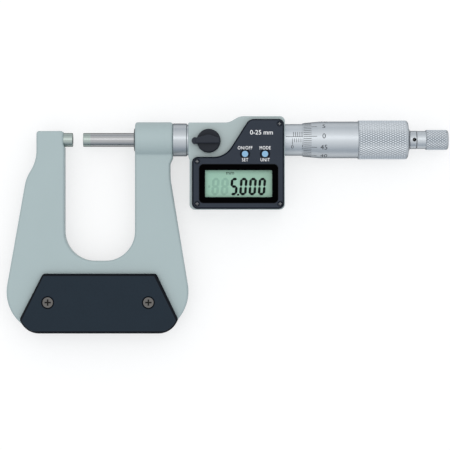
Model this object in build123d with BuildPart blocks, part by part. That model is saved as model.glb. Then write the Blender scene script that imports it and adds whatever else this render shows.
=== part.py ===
"""Deep throat digital micrometer, 0 to 25 mm, lying on its back with its display up.

The x axis is the spindle's axis, from the anvil to the ratchet, y runs from the throat's floor
to the spindle, and z points out of the display. The origin is the centre of the anvil's
measuring face. Lengths are in millimetres.
"""

from build123d import *
import math
import os

# Measuring line
reading = 5.0
measuring_range = 25.0
spindle_radius = 3.25
tip_chamfer = 0.15
anvil_tip_length = 2.0
spindle_tip_length = 3.5
anvil_depth = 9.2

# Frame casting. A reach is measured outwards from a side of the throat
throat_left_x = -3.7
throat_width = 33.35
throat_floor_y = -57.4
throat_corner_radius = 14.2
anvil_land_x = -4.3
anvil_land_height = 2.2
land_slope = 1.6
arm_width = 13.3
arm_top_y = 4.1
arm_corner_radius = 1.25
haunch_top_y = -10.0
haunch_bottom_y = -18.2
haunch_width = 4.9
haunch_radius = 18.0
foot_left_reach = 31.2
foot_right_reach = 28.65
foot_height = 34.2
foot_corner_radius = 19.5
frame_thickness = 9.0
frame_edge_radius = 1.2
boss_length = 17.85
boss_radius = 8.4
boss_root_y = -8.8
boss_root_radius = 1.8
boss_blend_radius = 1.2
column_inset = 1.2
column_top_y = -11.6
column_foot_y = -18.3
column_radius = 30.0

# Seal ring in the mouth of the spindle boss
seal_radius = 5.5
seal_depth = 2.0
seal_stand_out = 0.5
seal_running_gap = 0.08
boss_web = 0.9
boss_web_gap = 0.55

# Guide sleeve, with the collar between frame and housing
spigot_radius = 6.0
collar_radius = 7.8
collar_length = 6.7
collar_chamfer = 0.3
neck_radius = 7.3
neck_length = 0.75
rear_spigot_length = 6.0
guide_gap = 0.03
guide_relief_radius = 3.7
guide_relief_length = 11.5

# Housing. A reach is measured from its right end
housing_length = 45.5
housing_step = 0.6
housing_step_top_y = -8.0
housing_step_bottom_y = -9.8
housing_shoulder_y = 7.9
housing_top_y = 10.9
housing_bottom_y = -33.1
shoulder_end_reach = 26.25
shoulder_rise_length = 5.0
housing_corner_radius = 2.4
shoulder_blend_radius = 7.0
housing_front_z = 8.6
housing_back_z = -9.6
housing_back_edge = 1.6
housing_front_edge = 0.6
back_wall = 1.5
spindle_tunnel_radius = 3.6
chamber_radius = 7.4

# Front cover and its gasket
gasket_thickness = 0.3
gasket_inset = 0.5
gasket_width = 1.3
gasket_ear = 1.7
cover_thickness = 3.1
cover_inset_left = 1.8
cover_inset_right = 0.4
cover_inset_bottom = 0.25
cover_inset_top = 1.5
cover_shelf_y = -8.4
cover_slope_reach = 28.15
cover_peak_reach = 16.85
cover_corner_radius = 2.6
cover_valley_radius = 10.0
cover_peak_radius = 4.0
cover_bevel = 0.7

# Cover screws
screw_inset_left = 2.4
screw_inset_right = 1.9
screw_inset_bottom = 2.4
screw_inset_shelf = 2.1
screw_inset_top = 2.2
cover_screw_radius = 0.75
cover_screw_head_radius = 1.05
cover_screw_head_height = 0.85
cover_screw_recess = 1.0
cover_screw_recess_radius = 1.3
cover_screw_depth = 3.4
cover_screw_gap = 0.1
cover_screw_cross = 1.5

# Pocket for the electronics
pocket_wall_side = 2.1
pocket_wall_end = 2.1
pocket_post_radius = 1.9
pocket_ledge = 0.9
board_back_z = 6.4
board_thickness = 0.8
board_gap = 0.2
board_tab_overhang = 4.25
board_tab_rise = 2.65

# Display
window_inset_left = 5.25
window_inset_right = 3.35
window_inset_top = 3.55
window_inset_bottom = 3.1
window_corner_radius = 1.9
window_thickness = 0.9
window_recess = 1.0
window_gap = 0.05
window_rim = 1.9
window_ledge = 0.8
lcd_thickness = 1.6
lcd_margin = 1.1
lcd_gap = 0.2
contact_strip_width = 1.6
contact_strip_inset = 0.4

# Buttons
button_reach = 18.8
button_pitch = 9.4
button_rise = 1.35
button_radius = 1.7
button_gap = 0.06
button_ring_radius = 2.4
button_ring_depth = 0.35
button_stand_out = 0.4
button_flange_radius = 2.5
button_flange_thickness = 0.85
button_pocket_gap = 0.2
button_ledge = 1.45
button_travel = 0.5
button_chamfer = 0.25
button_end_gap = 0.05
dome_radius = 1.5
pad_thickness = 0.7
pad_overhang = 2.6
pad_half_width = 2.2

# Lock lever, its bush and shoe
lock_distance = 9.65
lock_y = -0.8
lock_disc_radius = 5.6
lock_disc_height = 2.5
lock_disc_chamfer = 0.6
lock_lift = 0.3
lock_nub_radius = 1.6
lock_nub_reach = 6.4
lock_nub_height = 3.9
lock_grip_height = 4.3
lock_grip_half_width = 1.2
lock_grip_crest = 3.0
lock_grip_edge = 0.4
lock_screw_radius = 2.0
lock_screw_neck_radius = 1.2
lock_screw_neck_length = 1.7
lock_screw_gap = 0.03
lock_bush_radius = 3.2
lock_bush_length = 3.6
lock_bush_flange_radius = 4.4
lock_bush_flange = 0.2
lock_shoe_gap = 0.15
lock_shoe_top_gap = 0.1

# Encoder
bearing_distance = 13.0
bearing_length = 5.8
bearing_radius = 6.4
rotor_gap = 0.05
rotor_hub_radius = 4.9
rotor_hub_length = 9.2
rotor_disc_radius = 6.9
rotor_disc_thickness = 1.6
rotor_disc_setback = 0.5
stator_gap = 0.3
stator_thickness = 2.0
stator_ring_width = 2.2
key_radius = 0.7
key_distance = 1.1
key_side_gap = 0.05
key_end_gap = 0.1
keyway_depth = 0.6
keyway_run = 1.0

# Sleeve with the nut
flange_gap = 0.4
inner_sleeve_radius = 6.0
inner_sleeve_bore = 4.0
thread_radius = 3.6
thread_gap = 0.03
nut_length = 17.5
nut_thread_radius = 5.6
nut_slot_width = 0.8
nut_slot_length = 15.5
nut_slots = 3
sleeve_radius = 7.5
zero_mark_distance = 3.6
sleeve_chamfer = 0.3
adjusting_nut_radius = 6.9
adjusting_nut_length = 7.4
adjusting_nut_setback = 0.4
adjusting_nut_notch = 1.4
set_screw_radius = 1.0
set_screw_distance = 4.5
set_screw_sink = 0.4
set_screw_cross = 1.0
set_screw_cross_depth = 0.5

# Spindle and thimble
thread_relief = 0.35
relief_length = 1.5
thread_run_out = 1.0
cone_setback = 1.5
cone_radius = 4.6
cone_length = 7.5
cone_slope = 0.1
cone_gap = 0.02
thimble_length = 50.0
thimble_bore_gap = 0.15
thimble_edge_wall = 0.25
thimble_bevel_length = 7.9
thimble_radius = 8.7
thimble_grip_length = 23.7
thimble_grip_radius = 9.25
thimble_end_radius = 1.6
thimble_end_boss = 0.7
thimble_end_boss_radius = 4.9
thimble_end_boss_root = 6.2
thimble_seat_depth = 1.6
thimble_hub_depth = 4.6
thimble_bore_corner = 1.6

# Ratchet
stub_radius = 1.6
stub_shoulder_radius = 2.9
stub_shoulder_gap = 0.5
stub_engagement = 7.0
ratchet_collar_radius = 4.3
ratchet_seat_gap = 0.05
ratchet_collar_length = 3.2
collar_groove_width = 0.4
collar_groove_depth = 0.35
wrench_hole_radius = 0.75
wrench_hole_distance = 1.1
clutch_pocket_radius = 3.4
clutch_pocket_depth = 2.3
clutch_key_radius = 2.0
clutch_key_flats = 3.2
clutch_key_overhang = 0.6
clutch_gap = 0.05
clutch_radius = 3.3
clutch_thickness = 2.0
clutch_stand_out = 1.3
tooth_count = 24
tooth_height = 0.45
tooth_inner_radius = 2.2
tooth_crest_gap = 0.05
knob_gap = 0.3
axle_radius = 1.5
axle_gap = 0.03
knob_neck_radius = 4.25
knob_neck_length = 4.2
knob_length = 14.9
knob_radius = 4.8
knob_end_radius = 1.3
knob_end_recess_radius = 2.7
knob_end_recess = 2.2
retaining_screw_radius = 0.8
retaining_screw_length = 5.0
retaining_head_radius = 2.3
retaining_head_height = 1.4
retaining_slot_width = 0.8
retaining_slot_depth = 0.7
retaining_end_gap = 0.1
spring_radius = 2.7
spring_wire_radius = 0.22
spring_turns = 2

# Battery and its cap
battery_reach = 13.95
battery_rise = 12.6
battery_radius = 5.8
battery_height = 5.4
battery_gap = 0.3
battery_edge = 0.2
well_wall = 1.6
well_height = 4.8
cap_radius = 7.4
cap_thickness = 0.7
cap_sink = 0.2
cap_gap = 0.1
cap_boss_radius = 6.0
cap_seal_width = 0.6
cap_seal_gap = 0.05
cap_seal_edge = 0.2
cap_slot_length = 9.0
cap_slot_width = 1.4
cap_slot_depth = 0.4
contact_thickness = 0.2
contact_width = 3.0
side_contact_width = 1.6

# Insulating plates
plate_thickness = 3.0
plate_top_left_reach = 10.0
plate_top_right_reach = 10.15
plate_top_drop = 6.0
plate_side_left_reach = 21.0
plate_side_right_reach = 20.52
plate_side_rise = 6.7
plate_foot_left_reach = 17.89
plate_foot_right_reach = 17.08
plate_top_radius = 1.6
plate_side_radius = 2.0
plate_foot_radius = 9.6
plate_bevel = 0.7
plate_screw_left_reach = 7.7
plate_screw_right_reach = 6.45
plate_screw_rise = 14.6
plate_screw_radius = 1.25
plate_screw_head_radius = 2.45
plate_screw_head_height = 1.2
plate_screw_reach = 3.0
plate_screw_sink = 0.5
plate_screw_cross = 3.0
plate_screw_angle = 90
plate_hole_gap = 0.1
cross_width_share = 0.24

# Places along the spindle's axis that follow from the sizes above
frame_half = frame_thickness / 2
throat_right_x = throat_left_x + throat_width
foot_left_x = throat_left_x - foot_left_reach
foot_right_x = throat_right_x + foot_right_reach
frame_bottom_y = throat_floor_y - foot_height
boss_end_x = throat_right_x + boss_length
seal_end_x = throat_right_x + seal_depth
spigot_start_x = seal_end_x + boss_web
collar_end_x = boss_end_x + collar_length
housing_left_x = collar_end_x + neck_length
housing_right_x = housing_left_x + housing_length
rear_spigot_end_x = housing_left_x + rear_spigot_length
lock_x = housing_left_x + lock_distance
bearing_x = lock_x + bearing_distance
rotor_end_x = bearing_x + rotor_hub_length
rotor_disc_x = rotor_end_x - rotor_disc_setback - rotor_disc_thickness
stator_x = rotor_end_x + stator_gap
flange_x = stator_x + stator_thickness + flange_gap
key_x = bearing_x + bearing_length + key_distance
zero_mark_x = housing_right_x + zero_mark_distance
thimble_edge_x = zero_mark_x + reading
thimble_end_x = thimble_edge_x + thimble_length
thimble_bore = sleeve_radius + thimble_bore_gap
cone_end_x = thimble_end_x - thimble_hub_depth
cone_start_x = cone_end_x - cone_length
cone_end_radius = cone_radius - cone_slope * cone_length
thread_end_x = cone_start_x - cone_setback
nut_end_x = thread_end_x - thread_run_out - reading
nut_start_x = nut_end_x - nut_length
thread_start_x = nut_start_x - (measuring_range - reading)
sleeve_end_x = nut_end_x - 2 * adjusting_nut_setback - adjusting_nut_length
ratchet_collar_x = thimble_end_x + thimble_end_boss
ratchet_collar_end_x = ratchet_collar_x + ratchet_collar_length
clutch_face_x = ratchet_collar_end_x + clutch_stand_out
clutch_crest_x = clutch_face_x + tooth_height
knob_root_x = clutch_crest_x + tooth_crest_gap + tooth_height
knob_start_x = ratchet_collar_end_x + knob_gap
knob_end_x = knob_start_x + knob_length
knob_seat_x = knob_end_x - knob_end_recess
axle_end_x = knob_seat_x + retaining_end_gap

# Heights that follow from the sizes above
cover_back_z = housing_front_z + gasket_thickness
cover_front_z = cover_back_z + cover_thickness
board_front_z = board_back_z + board_thickness
window_seat_z = cover_front_z - window_recess
window_ledge_z = window_seat_z - window_ledge
lcd_front_z = window_ledge_z - window_gap
lcd_back_z = lcd_front_z - lcd_thickness
button_ledge_z = cover_front_z - button_ledge
button_flange_z = button_ledge_z - button_gap - button_flange_thickness
dome_top_z = button_flange_z - button_travel - button_end_gap
pocket_floor_z = housing_back_z + back_wall
lever_z = housing_front_z + lock_lift
lock_bush_z = housing_front_z - lock_bush_length
battery_z = housing_back_z + cap_sink + cap_thickness + cap_gap + cap_seal_width
cap_seat_z = housing_back_z + cap_sink + cap_thickness + cap_gap

# Edges of the housing, the cover, the window and the pocket
shoulder_end_x = housing_right_x - shoulder_end_reach
raised_top_x = shoulder_end_x + shoulder_rise_length
cover_left_x = housing_left_x + cover_inset_left
cover_right_x = housing_right_x - cover_inset_right
cover_bottom_y = housing_bottom_y + cover_inset_bottom
cover_top_y = housing_top_y - cover_inset_top
cover_slope_x = housing_right_x - cover_slope_reach
cover_peak_x = housing_right_x - cover_peak_reach
window_left_x = housing_left_x + window_inset_left
window_right_x = housing_right_x - window_inset_right
window_top_y = cover_shelf_y - window_inset_top
window_bottom_y = housing_bottom_y + window_inset_bottom
button_left_x = housing_right_x - button_reach
button_y = cover_shelf_y + button_rise
board_tab_x = button_left_x - board_tab_overhang
board_tab_top_y = button_y + board_tab_rise
battery_x = housing_right_x - battery_reach
battery_y = housing_bottom_y + battery_rise
pocket_left_x = cover_left_x + pocket_wall_side
pocket_right_x = cover_right_x - pocket_wall_side
pocket_bottom_y = cover_bottom_y + pocket_wall_end
pocket_top_y = cover_shelf_y - pocket_wall_end

cover_outline = [
    (cover_left_x, cover_bottom_y, cover_corner_radius),
    (cover_right_x, cover_bottom_y, cover_corner_radius),
    (cover_right_x, cover_top_y, cover_corner_radius),
    (cover_peak_x, cover_top_y, cover_peak_radius),
    (cover_slope_x, cover_shelf_y, cover_valley_radius),
    (cover_left_x, cover_shelf_y, cover_corner_radius),
]
cover_screws = [
    (cover_left_x + screw_inset_left, cover_shelf_y - screw_inset_shelf),
    (cover_left_x + screw_inset_left, cover_bottom_y + screw_inset_bottom),
    (cover_right_x - screw_inset_right, cover_bottom_y + screw_inset_bottom),
    (cover_right_x - screw_inset_top, cover_top_y - screw_inset_top),
]
plate_screws = [
    (throat_left_x - plate_screw_left_reach, frame_bottom_y + plate_screw_rise),
    (throat_right_x + plate_screw_right_reach, frame_bottom_y + plate_screw_rise),
]
plate_outline = [
    (throat_left_x - plate_foot_left_reach, frame_bottom_y, plate_foot_radius),
    (throat_right_x + plate_foot_right_reach, frame_bottom_y, plate_foot_radius),
    (throat_right_x + plate_side_right_reach, frame_bottom_y + plate_side_rise, plate_side_radius),
    (throat_right_x + plate_top_right_reach, throat_floor_y - plate_top_drop, plate_top_radius),
    (throat_left_x - plate_top_left_reach, throat_floor_y - plate_top_drop, plate_top_radius),
    (throat_left_x - plate_side_left_reach, frame_bottom_y + plate_side_rise, plate_side_radius),
]
buttons = [(button_left_x, button_y), (button_left_x + button_pitch, button_y)]
lock_place = (lock_x, lock_y)
battery_place = (battery_x, battery_y)

os.makedirs("parts", exist_ok=True)


def outline(corners, height=0.0):
    """A face at a height, inside corners given as x, y and corner radius."""
    with BuildSketch(Plane.XY.offset(height)) as face:
        with BuildLine():
            FilletPolyline(
                *[(corner[0], corner[1]) for corner in corners],
                radius=[corner[2] if len(corner) > 2 else 0 for corner in corners],
                close=True,
            )
        make_face()
    return face.sketch


def box_corners(left, bottom, right, top, radius=0.0):
    """The four corners of an upright rectangle, for outline."""
    return [
        (left, bottom, radius),
        (right, bottom, radius),
        (right, top, radius),
        (left, top, radius),
    ]


def slab(corners, low, high, mode=Mode.ADD):
    """Adds or removes an outline between two heights."""
    extrude(outline(corners, low), amount=high - low, mode=mode)


def turned(profile, mode=Mode.ADD):
    """Adds or removes a profile of x, radius and corner radius, turned about the x axis."""
    revolve(outline(profile), axis=Axis.X, mode=mode)


def bar(start, end, radius, mode=Mode.ADD):
    """Adds or removes a round length of the x axis."""
    with BuildSketch(Plane.YZ.offset(start)) as disc:
        Circle(radius)
    extrude(disc.sketch, amount=end - start, mode=mode)


def post(places, low, high, radius, mode=Mode.ADD):
    """Adds or removes upright round posts between two heights."""
    with BuildSketch(Plane.XY.offset(low)) as disc:
        with Locations(*places):
            Circle(radius)
    extrude(disc.sketch, amount=high - low, mode=mode)


def cross_recess(places, top, length, depth):
    """Cuts the cross of a screwdriver recess down from a height, or up for a negative depth."""
    with BuildSketch(Plane.XY.offset(top)) as cross:
        with Locations(*places):
            Rectangle(length, length * cross_width_share)
            Rectangle(length * cross_width_share, length)
    extrude(cross.sketch, amount=-depth, mode=Mode.SUBTRACT)


def keep(piece, name):
    """Labels a finished piece and writes it."""
    piece.part.label = name
    export_step(piece.part, f"parts/{name}.step")


# Frame: a U casting with a blended boss for the spindle
with BuildPart() as spindle_boss:
    with BuildSketch(Plane.YZ.offset(throat_right_x)) as boss_section:
        Circle(boss_radius)
        with Locations((boss_root_y / 2, 0)):
            Rectangle(-boss_root_y, frame_thickness)
        fillet(boss_section.vertices().group_by(Axis.X)[1], boss_blend_radius)
    extrude(amount=boss_length)
    boss_rims = spindle_boss.faces().filter_by(Axis.X).edges()
    fillet(boss_rims - boss_rims.group_by(Axis.Y)[0], frame_edge_radius)

with BuildPart() as frame:
    slab(
        [
            (throat_left_x - arm_width, arm_top_y, arm_corner_radius),
            (throat_left_x - arm_width, haunch_top_y, haunch_radius),
            (throat_left_x - arm_width - haunch_width, haunch_bottom_y, haunch_radius),
            (foot_left_x, frame_bottom_y, foot_corner_radius),
            (foot_right_x, frame_bottom_y, foot_corner_radius),
            (boss_end_x - column_inset, column_foot_y, column_radius),
            (boss_end_x - column_inset, column_top_y, boss_root_radius),
            (boss_end_x, boss_root_y, boss_root_radius),
            (boss_end_x, 0, boss_root_radius),
            (throat_right_x, 0, boss_root_radius),
            (throat_right_x, throat_floor_y, throat_corner_radius),
            (throat_left_x, throat_floor_y, throat_corner_radius),
            (throat_left_x, -anvil_land_height - land_slope, boss_root_radius),
            (anvil_land_x, -anvil_land_height, boss_root_radius),
            (anvil_land_x, arm_top_y, arm_corner_radius),
        ],
        -frame_half,
        frame_half,
    )
    fillet(frame.faces().filter_by(Axis.Z).edges(), frame_edge_radius)
    add(spindle_boss.part)
    bar(anvil_land_x - anvil_depth, 0, spindle_radius, Mode.SUBTRACT)
    bar(throat_right_x, seal_end_x, seal_radius, Mode.SUBTRACT)
    bar(seal_end_x, spigot_start_x, spindle_radius + boss_web_gap, Mode.SUBTRACT)
    bar(spigot_start_x, boss_end_x, spigot_radius, Mode.SUBTRACT)
    post(plate_screws, -frame_half, frame_half, plate_screw_radius, Mode.SUBTRACT)
keep(frame, "frame")

# Anvil, pressed into the left arm, with its carbide tip
with BuildPart() as anvil:
    bar(anvil_land_x - anvil_depth, -anvil_tip_length, spindle_radius)
    chamfer(anvil.edges().sort_by(Axis.X)[0], tip_chamfer)
keep(anvil, "anvil")

with BuildPart() as anvil_tip:
    bar(-anvil_tip_length, 0, spindle_radius)
    chamfer(anvil_tip.edges().sort_by(Axis.X)[-1], tip_chamfer)
keep(anvil_tip, "anvil_tip")

# Seal ring that wipes the spindle
with BuildPart() as wiper_seal:
    bar(throat_right_x - seal_stand_out, seal_end_x, seal_radius)
    fillet(wiper_seal.edges().sort_by(Axis.X)[0], seal_stand_out)
    seal_bore = spindle_radius + seal_running_gap
    bar(throat_right_x - seal_stand_out, seal_end_x, seal_bore, Mode.SUBTRACT)
keep(wiper_seal, "wiper_seal")

# Guide sleeve: front spigot in the frame, steel collar, neck and rear spigot in the housing
with BuildPart() as guide_sleeve:
    guide_bore = spindle_radius + guide_gap
    relief_x = rear_spigot_end_x - guide_relief_length
    turned(
        [
            (spigot_start_x, guide_bore),
            (spigot_start_x, spigot_radius),
            (boss_end_x, spigot_radius),
            (boss_end_x, collar_radius - collar_chamfer),
            (boss_end_x + collar_chamfer, collar_radius),
            (collar_end_x - collar_chamfer, collar_radius),
            (collar_end_x, collar_radius - collar_chamfer),
            (collar_end_x, neck_radius),
            (housing_left_x, neck_radius),
            (housing_left_x, spigot_radius),
            (rear_spigot_end_x, spigot_radius),
            (rear_spigot_end_x, guide_relief_radius),
            (relief_x, guide_relief_radius),
            (relief_x, guide_bore),
        ]
    )
keep(guide_sleeve, "guide_sleeve")

# Housing: outer form, spindle tunnel, encoder chamber, pocket, battery well and screw holes
pocket_posts = cover_screws[:3]
ledge_left_x = pocket_left_x + pocket_ledge
ledge_right_x = pocket_right_x - pocket_ledge
ledge_bottom_y = pocket_bottom_y + pocket_ledge
ledge_top_y = pocket_top_y - pocket_ledge
well_top_z = battery_z + well_height
cap_bore = cap_boss_radius + cap_seal_width + cap_seal_gap


def pocket(left, bottom, right, top, low, high, post_radius):
    """Cuts a rectangle between two heights, leaving round posts for the cover's screws."""
    with BuildSketch(Plane.XY.offset(low)) as floor:
        add(outline(box_corners(left, bottom, right, top)))
        with Locations(*pocket_posts):
            Circle(post_radius, mode=Mode.SUBTRACT)
    extrude(floor.sketch, amount=high - low, mode=Mode.SUBTRACT)


with BuildPart() as housing:
    slab(
        [
            (housing_left_x + housing_step, housing_bottom_y, housing_corner_radius),
            (housing_right_x, housing_bottom_y, housing_corner_radius),
            (housing_right_x, housing_top_y, housing_corner_radius),
            (raised_top_x, housing_top_y, shoulder_blend_radius),
            (shoulder_end_x, housing_shoulder_y, shoulder_blend_radius),
            (housing_left_x, housing_shoulder_y, housing_front_edge),
            (housing_left_x, housing_step_top_y, housing_front_edge),
            (housing_left_x + housing_step, housing_step_bottom_y, housing_front_edge),
        ],
        housing_back_z,
        housing_front_z,
    )
    fillet(housing.faces().sort_by(Axis.Z)[0].edges(), housing_back_edge)
    fillet(housing.faces().sort_by(Axis.Z)[-1].edges(), housing_front_edge)
    bar(housing_left_x, rear_spigot_end_x, spigot_radius, Mode.SUBTRACT)
    bar(rear_spigot_end_x, bearing_x, spindle_tunnel_radius, Mode.SUBTRACT)
    bar(bearing_x, bearing_x + bearing_length, bearing_radius, Mode.SUBTRACT)
    bar(bearing_x + bearing_length, housing_right_x, chamber_radius, Mode.SUBTRACT)
    pocket(
        pocket_left_x, pocket_bottom_y, pocket_right_x, pocket_top_y,
        board_back_z, housing_front_z, pocket_post_radius,
    )
    pocket(
        ledge_left_x, ledge_bottom_y, ledge_right_x, ledge_top_y,
        pocket_floor_z, board_back_z, pocket_post_radius,
    )
    slab(
        box_corners(board_tab_x, pocket_top_y, pocket_right_x, board_tab_top_y),
        board_back_z,
        housing_front_z,
        Mode.SUBTRACT,
    )
    post([battery_place], pocket_floor_z, well_top_z, battery_radius + battery_gap + well_wall)
    post([battery_place], battery_z, well_top_z, battery_radius + battery_gap, Mode.SUBTRACT)
    post([battery_place], cap_seat_z, battery_z, cap_bore, Mode.SUBTRACT)
    post([battery_place], housing_back_z, cap_seat_z, cap_radius + cap_gap, Mode.SUBTRACT)
    post([lock_place], 0, lock_bush_z, lock_screw_radius, Mode.SUBTRACT)
    post([lock_place], lock_bush_z, housing_front_z, lock_bush_radius, Mode.SUBTRACT)
    screw_hole_z = housing_front_z - cover_screw_depth
    post(cover_screws, screw_hole_z, housing_front_z, cover_screw_radius, Mode.SUBTRACT)
    set_screw_place = (housing_right_x - set_screw_distance, 0)
    post([set_screw_place], housing_back_z, 0, set_screw_radius, Mode.SUBTRACT)
keep(housing, "housing")

# Gasket under the front cover, with an ear round each screw
with BuildPart() as housing_gasket:
    with BuildSketch(Plane.XY.offset(housing_front_z)) as gasket_ring:
        add(outline(cover_outline))
        offset(amount=-gasket_inset)
        offset(amount=-gasket_width, mode=Mode.SUBTRACT)
        with Locations(*cover_screws):
            Circle(gasket_ear)
            Circle(cover_screw_radius + cover_screw_gap, mode=Mode.SUBTRACT)
    extrude(amount=gasket_thickness)
keep(housing_gasket, "housing_gasket")

# Front cover: bevelled plate with window recess, display cavity, button and screw holes
lcd_left_x = window_left_x + window_rim
lcd_right_x = window_right_x - window_rim
lcd_bottom_y = window_bottom_y + window_rim
lcd_top_y = window_top_y - window_rim
with BuildPart() as front_cover:
    slab(cover_outline, cover_back_z, cover_front_z)
    chamfer(front_cover.faces().sort_by(Axis.Z)[-1].edges(), cover_bevel)
    slab(
        box_corners(
            window_left_x, window_bottom_y, window_right_x, window_top_y, window_corner_radius
        ),
        window_seat_z,
        cover_front_z,
        Mode.SUBTRACT,
    )
    slab(
        box_corners(lcd_left_x, lcd_bottom_y, lcd_right_x, lcd_top_y),
        window_ledge_z,
        window_seat_z,
        Mode.SUBTRACT,
    )
    slab(
        box_corners(
            lcd_left_x - lcd_margin - lcd_gap,
            lcd_bottom_y - lcd_margin - lcd_gap,
            lcd_right_x + lcd_margin + lcd_gap,
            lcd_top_y + lcd_margin + lcd_gap,
        ),
        cover_back_z,
        window_ledge_z,
        Mode.SUBTRACT,
    )
    post(buttons, cover_back_z, cover_front_z, button_radius + button_gap, Mode.SUBTRACT)
    button_ring_z = cover_front_z - button_ring_depth
    post(buttons, button_ring_z, cover_front_z, button_ring_radius, Mode.SUBTRACT)
    button_pocket_radius = button_flange_radius + button_pocket_gap
    post(buttons, cover_back_z, button_ledge_z, button_pocket_radius, Mode.SUBTRACT)
    screw_clearance = cover_screw_radius + cover_screw_gap
    post(cover_screws, cover_back_z, cover_front_z, screw_clearance, Mode.SUBTRACT)
    screw_seat_z = cover_front_z - cover_screw_recess
    post(cover_screws, screw_seat_z, cover_front_z, cover_screw_recess_radius, Mode.SUBTRACT)
keep(front_cover, "front_cover")

# Cover screws, four alike
with BuildPart() as cover_screw_set:
    post(cover_screws, screw_hole_z, screw_seat_z, cover_screw_radius)
    screw_top_z = screw_seat_z + cover_screw_head_height
    post(cover_screws, screw_seat_z, screw_top_z, cover_screw_head_radius)
    cross_recess(cover_screws, screw_top_z, cover_screw_cross, cover_screw_head_height / 2)
keep(cover_screw_set, "cover_screws")

# Display window, display panel and the two contact strips that join it to the board
with BuildPart() as display_window:
    slab(
        box_corners(
            window_left_x + window_gap,
            window_bottom_y + window_gap,
            window_right_x - window_gap,
            window_top_y - window_gap,
            window_corner_radius - window_gap,
        ),
        window_seat_z,
        window_seat_z + window_thickness,
    )
keep(display_window, "display_window")

with BuildPart() as lcd_panel:
    slab(
        box_corners(
            lcd_left_x - lcd_margin,
            lcd_bottom_y - lcd_margin,
            lcd_right_x + lcd_margin,
            lcd_top_y + lcd_margin,
        ),
        lcd_back_z,
        lcd_front_z,
    )
keep(lcd_panel, "lcd_panel")

with BuildPart() as lcd_contact_strips:
    for strip_y in (
        lcd_bottom_y - lcd_margin + contact_strip_inset,
        lcd_top_y + lcd_margin - contact_strip_inset - contact_strip_width,
    ):
        slab(
            box_corners(lcd_left_x, strip_y, lcd_right_x, strip_y + contact_strip_width),
            board_front_z,
            lcd_back_z,
        )
keep(lcd_contact_strips, "lcd_contact_strips")

# Circuit board on the pocket's ledge, with a tab under the buttons
with BuildPart() as circuit_board:
    with BuildSketch(Plane.XY.offset(board_back_z)) as board_face:
        add(
            outline(
                [
                    (pocket_left_x + board_gap, pocket_bottom_y + board_gap),
                    (pocket_right_x - board_gap, pocket_bottom_y + board_gap),
                    (pocket_right_x - board_gap, board_tab_top_y - board_gap),
                    (board_tab_x + board_gap, board_tab_top_y - board_gap),
                    (board_tab_x + board_gap, pocket_top_y - board_gap),
                    (pocket_left_x + board_gap, pocket_top_y - board_gap),
                ]
            )
        )
        with Locations(*pocket_posts):
            Circle(pocket_post_radius + board_gap, mode=Mode.SUBTRACT)
    extrude(amount=board_thickness)
keep(circuit_board, "circuit_board")

# Rubber pad with a dome under each button
with BuildPart() as button_pad:
    pad_left_x = button_left_x - pad_overhang
    pad_right_x = button_left_x + button_pitch + pad_overhang
    slab(
        box_corners(pad_left_x, button_y - pad_half_width, pad_right_x, button_y + pad_half_width),
        board_front_z,
        board_front_z + pad_thickness,
    )
    post(buttons, board_front_z, dome_top_z, dome_radius)
keep(button_pad, "button_pad")


def push_button(place, name):
    """A round button with the flange that keeps it under the cover."""
    with BuildPart() as button:
        flange_top_z = button_flange_z + button_flange_thickness
        post([place], button_flange_z, flange_top_z, button_flange_radius)
        post([place], flange_top_z, cover_front_z + button_stand_out, button_radius)
        chamfer(button.faces().sort_by(Axis.Z)[-1].edges(), button_chamfer)
    keep(button, name)


push_button(buttons[0], "power_button")
push_button(buttons[1], "unit_button")

# Lock: threaded bush in the housing, lever with its screw, and the shoe on the spindle
with BuildPart() as lock_bush:
    post([lock_place], lock_bush_z, housing_front_z, lock_bush_radius)
    flange_z = housing_front_z + lock_bush_flange
    post([lock_place], housing_front_z, flange_z, lock_bush_flange_radius)
    post([lock_place], lock_bush_z, flange_z, lock_screw_radius + lock_screw_gap, Mode.SUBTRACT)
keep(lock_bush, "lock_bush")

with BuildPart() as lock_screw:
    post([lock_place], lock_bush_z, lever_z, lock_screw_radius)
    post([lock_place], lever_z, lever_z + lock_screw_neck_length, lock_screw_neck_radius)
keep(lock_screw, "lock_screw")

nub_place = (lock_x - lock_nub_reach, lock_y)
with BuildPart() as lock_lever:
    lever_top_z = lever_z + lock_disc_height
    grip_right_x = lock_x + lock_disc_radius - lock_grip_edge
    post([lock_place], lever_z, lever_top_z, lock_disc_radius)
    chamfer(lock_lever.faces().sort_by(Axis.Z)[-1].edges(), lock_disc_chamfer)
    slab(
        [
            (nub_place[0], lock_y - lock_grip_half_width),
            (grip_right_x, lock_y - lock_grip_half_width, lock_grip_edge),
            (grip_right_x, lock_y + lock_grip_half_width, lock_grip_half_width),
            (lock_x, lock_y + lock_grip_crest, lock_grip_crest),
            (nub_place[0], lock_y + lock_grip_half_width),
        ],
        lever_z + lock_disc_chamfer,
        lever_z + lock_grip_height,
    )
    chamfer(lock_lever.faces().sort_by(Axis.Z)[-1].edges(), lock_grip_edge)
    post([nub_place], lever_z, lever_z + lock_nub_height, lock_nub_radius)
    neck_end_z = lever_z + lock_screw_neck_length
    post([lock_place], lever_z, neck_end_z, lock_screw_neck_radius, Mode.SUBTRACT)
keep(lock_lever, "lock_lever")

with BuildPart() as lock_shoe:
    shoe_top_z = lock_bush_z - lock_shoe_top_gap
    post([lock_place], 0, shoe_top_z, lock_screw_radius - lock_screw_gap)
    shoe_bore = spindle_radius + lock_shoe_gap
    bar(rear_spigot_end_x, bearing_x, shoe_bore, Mode.SUBTRACT)
keep(lock_shoe, "lock_shoe")

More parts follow.
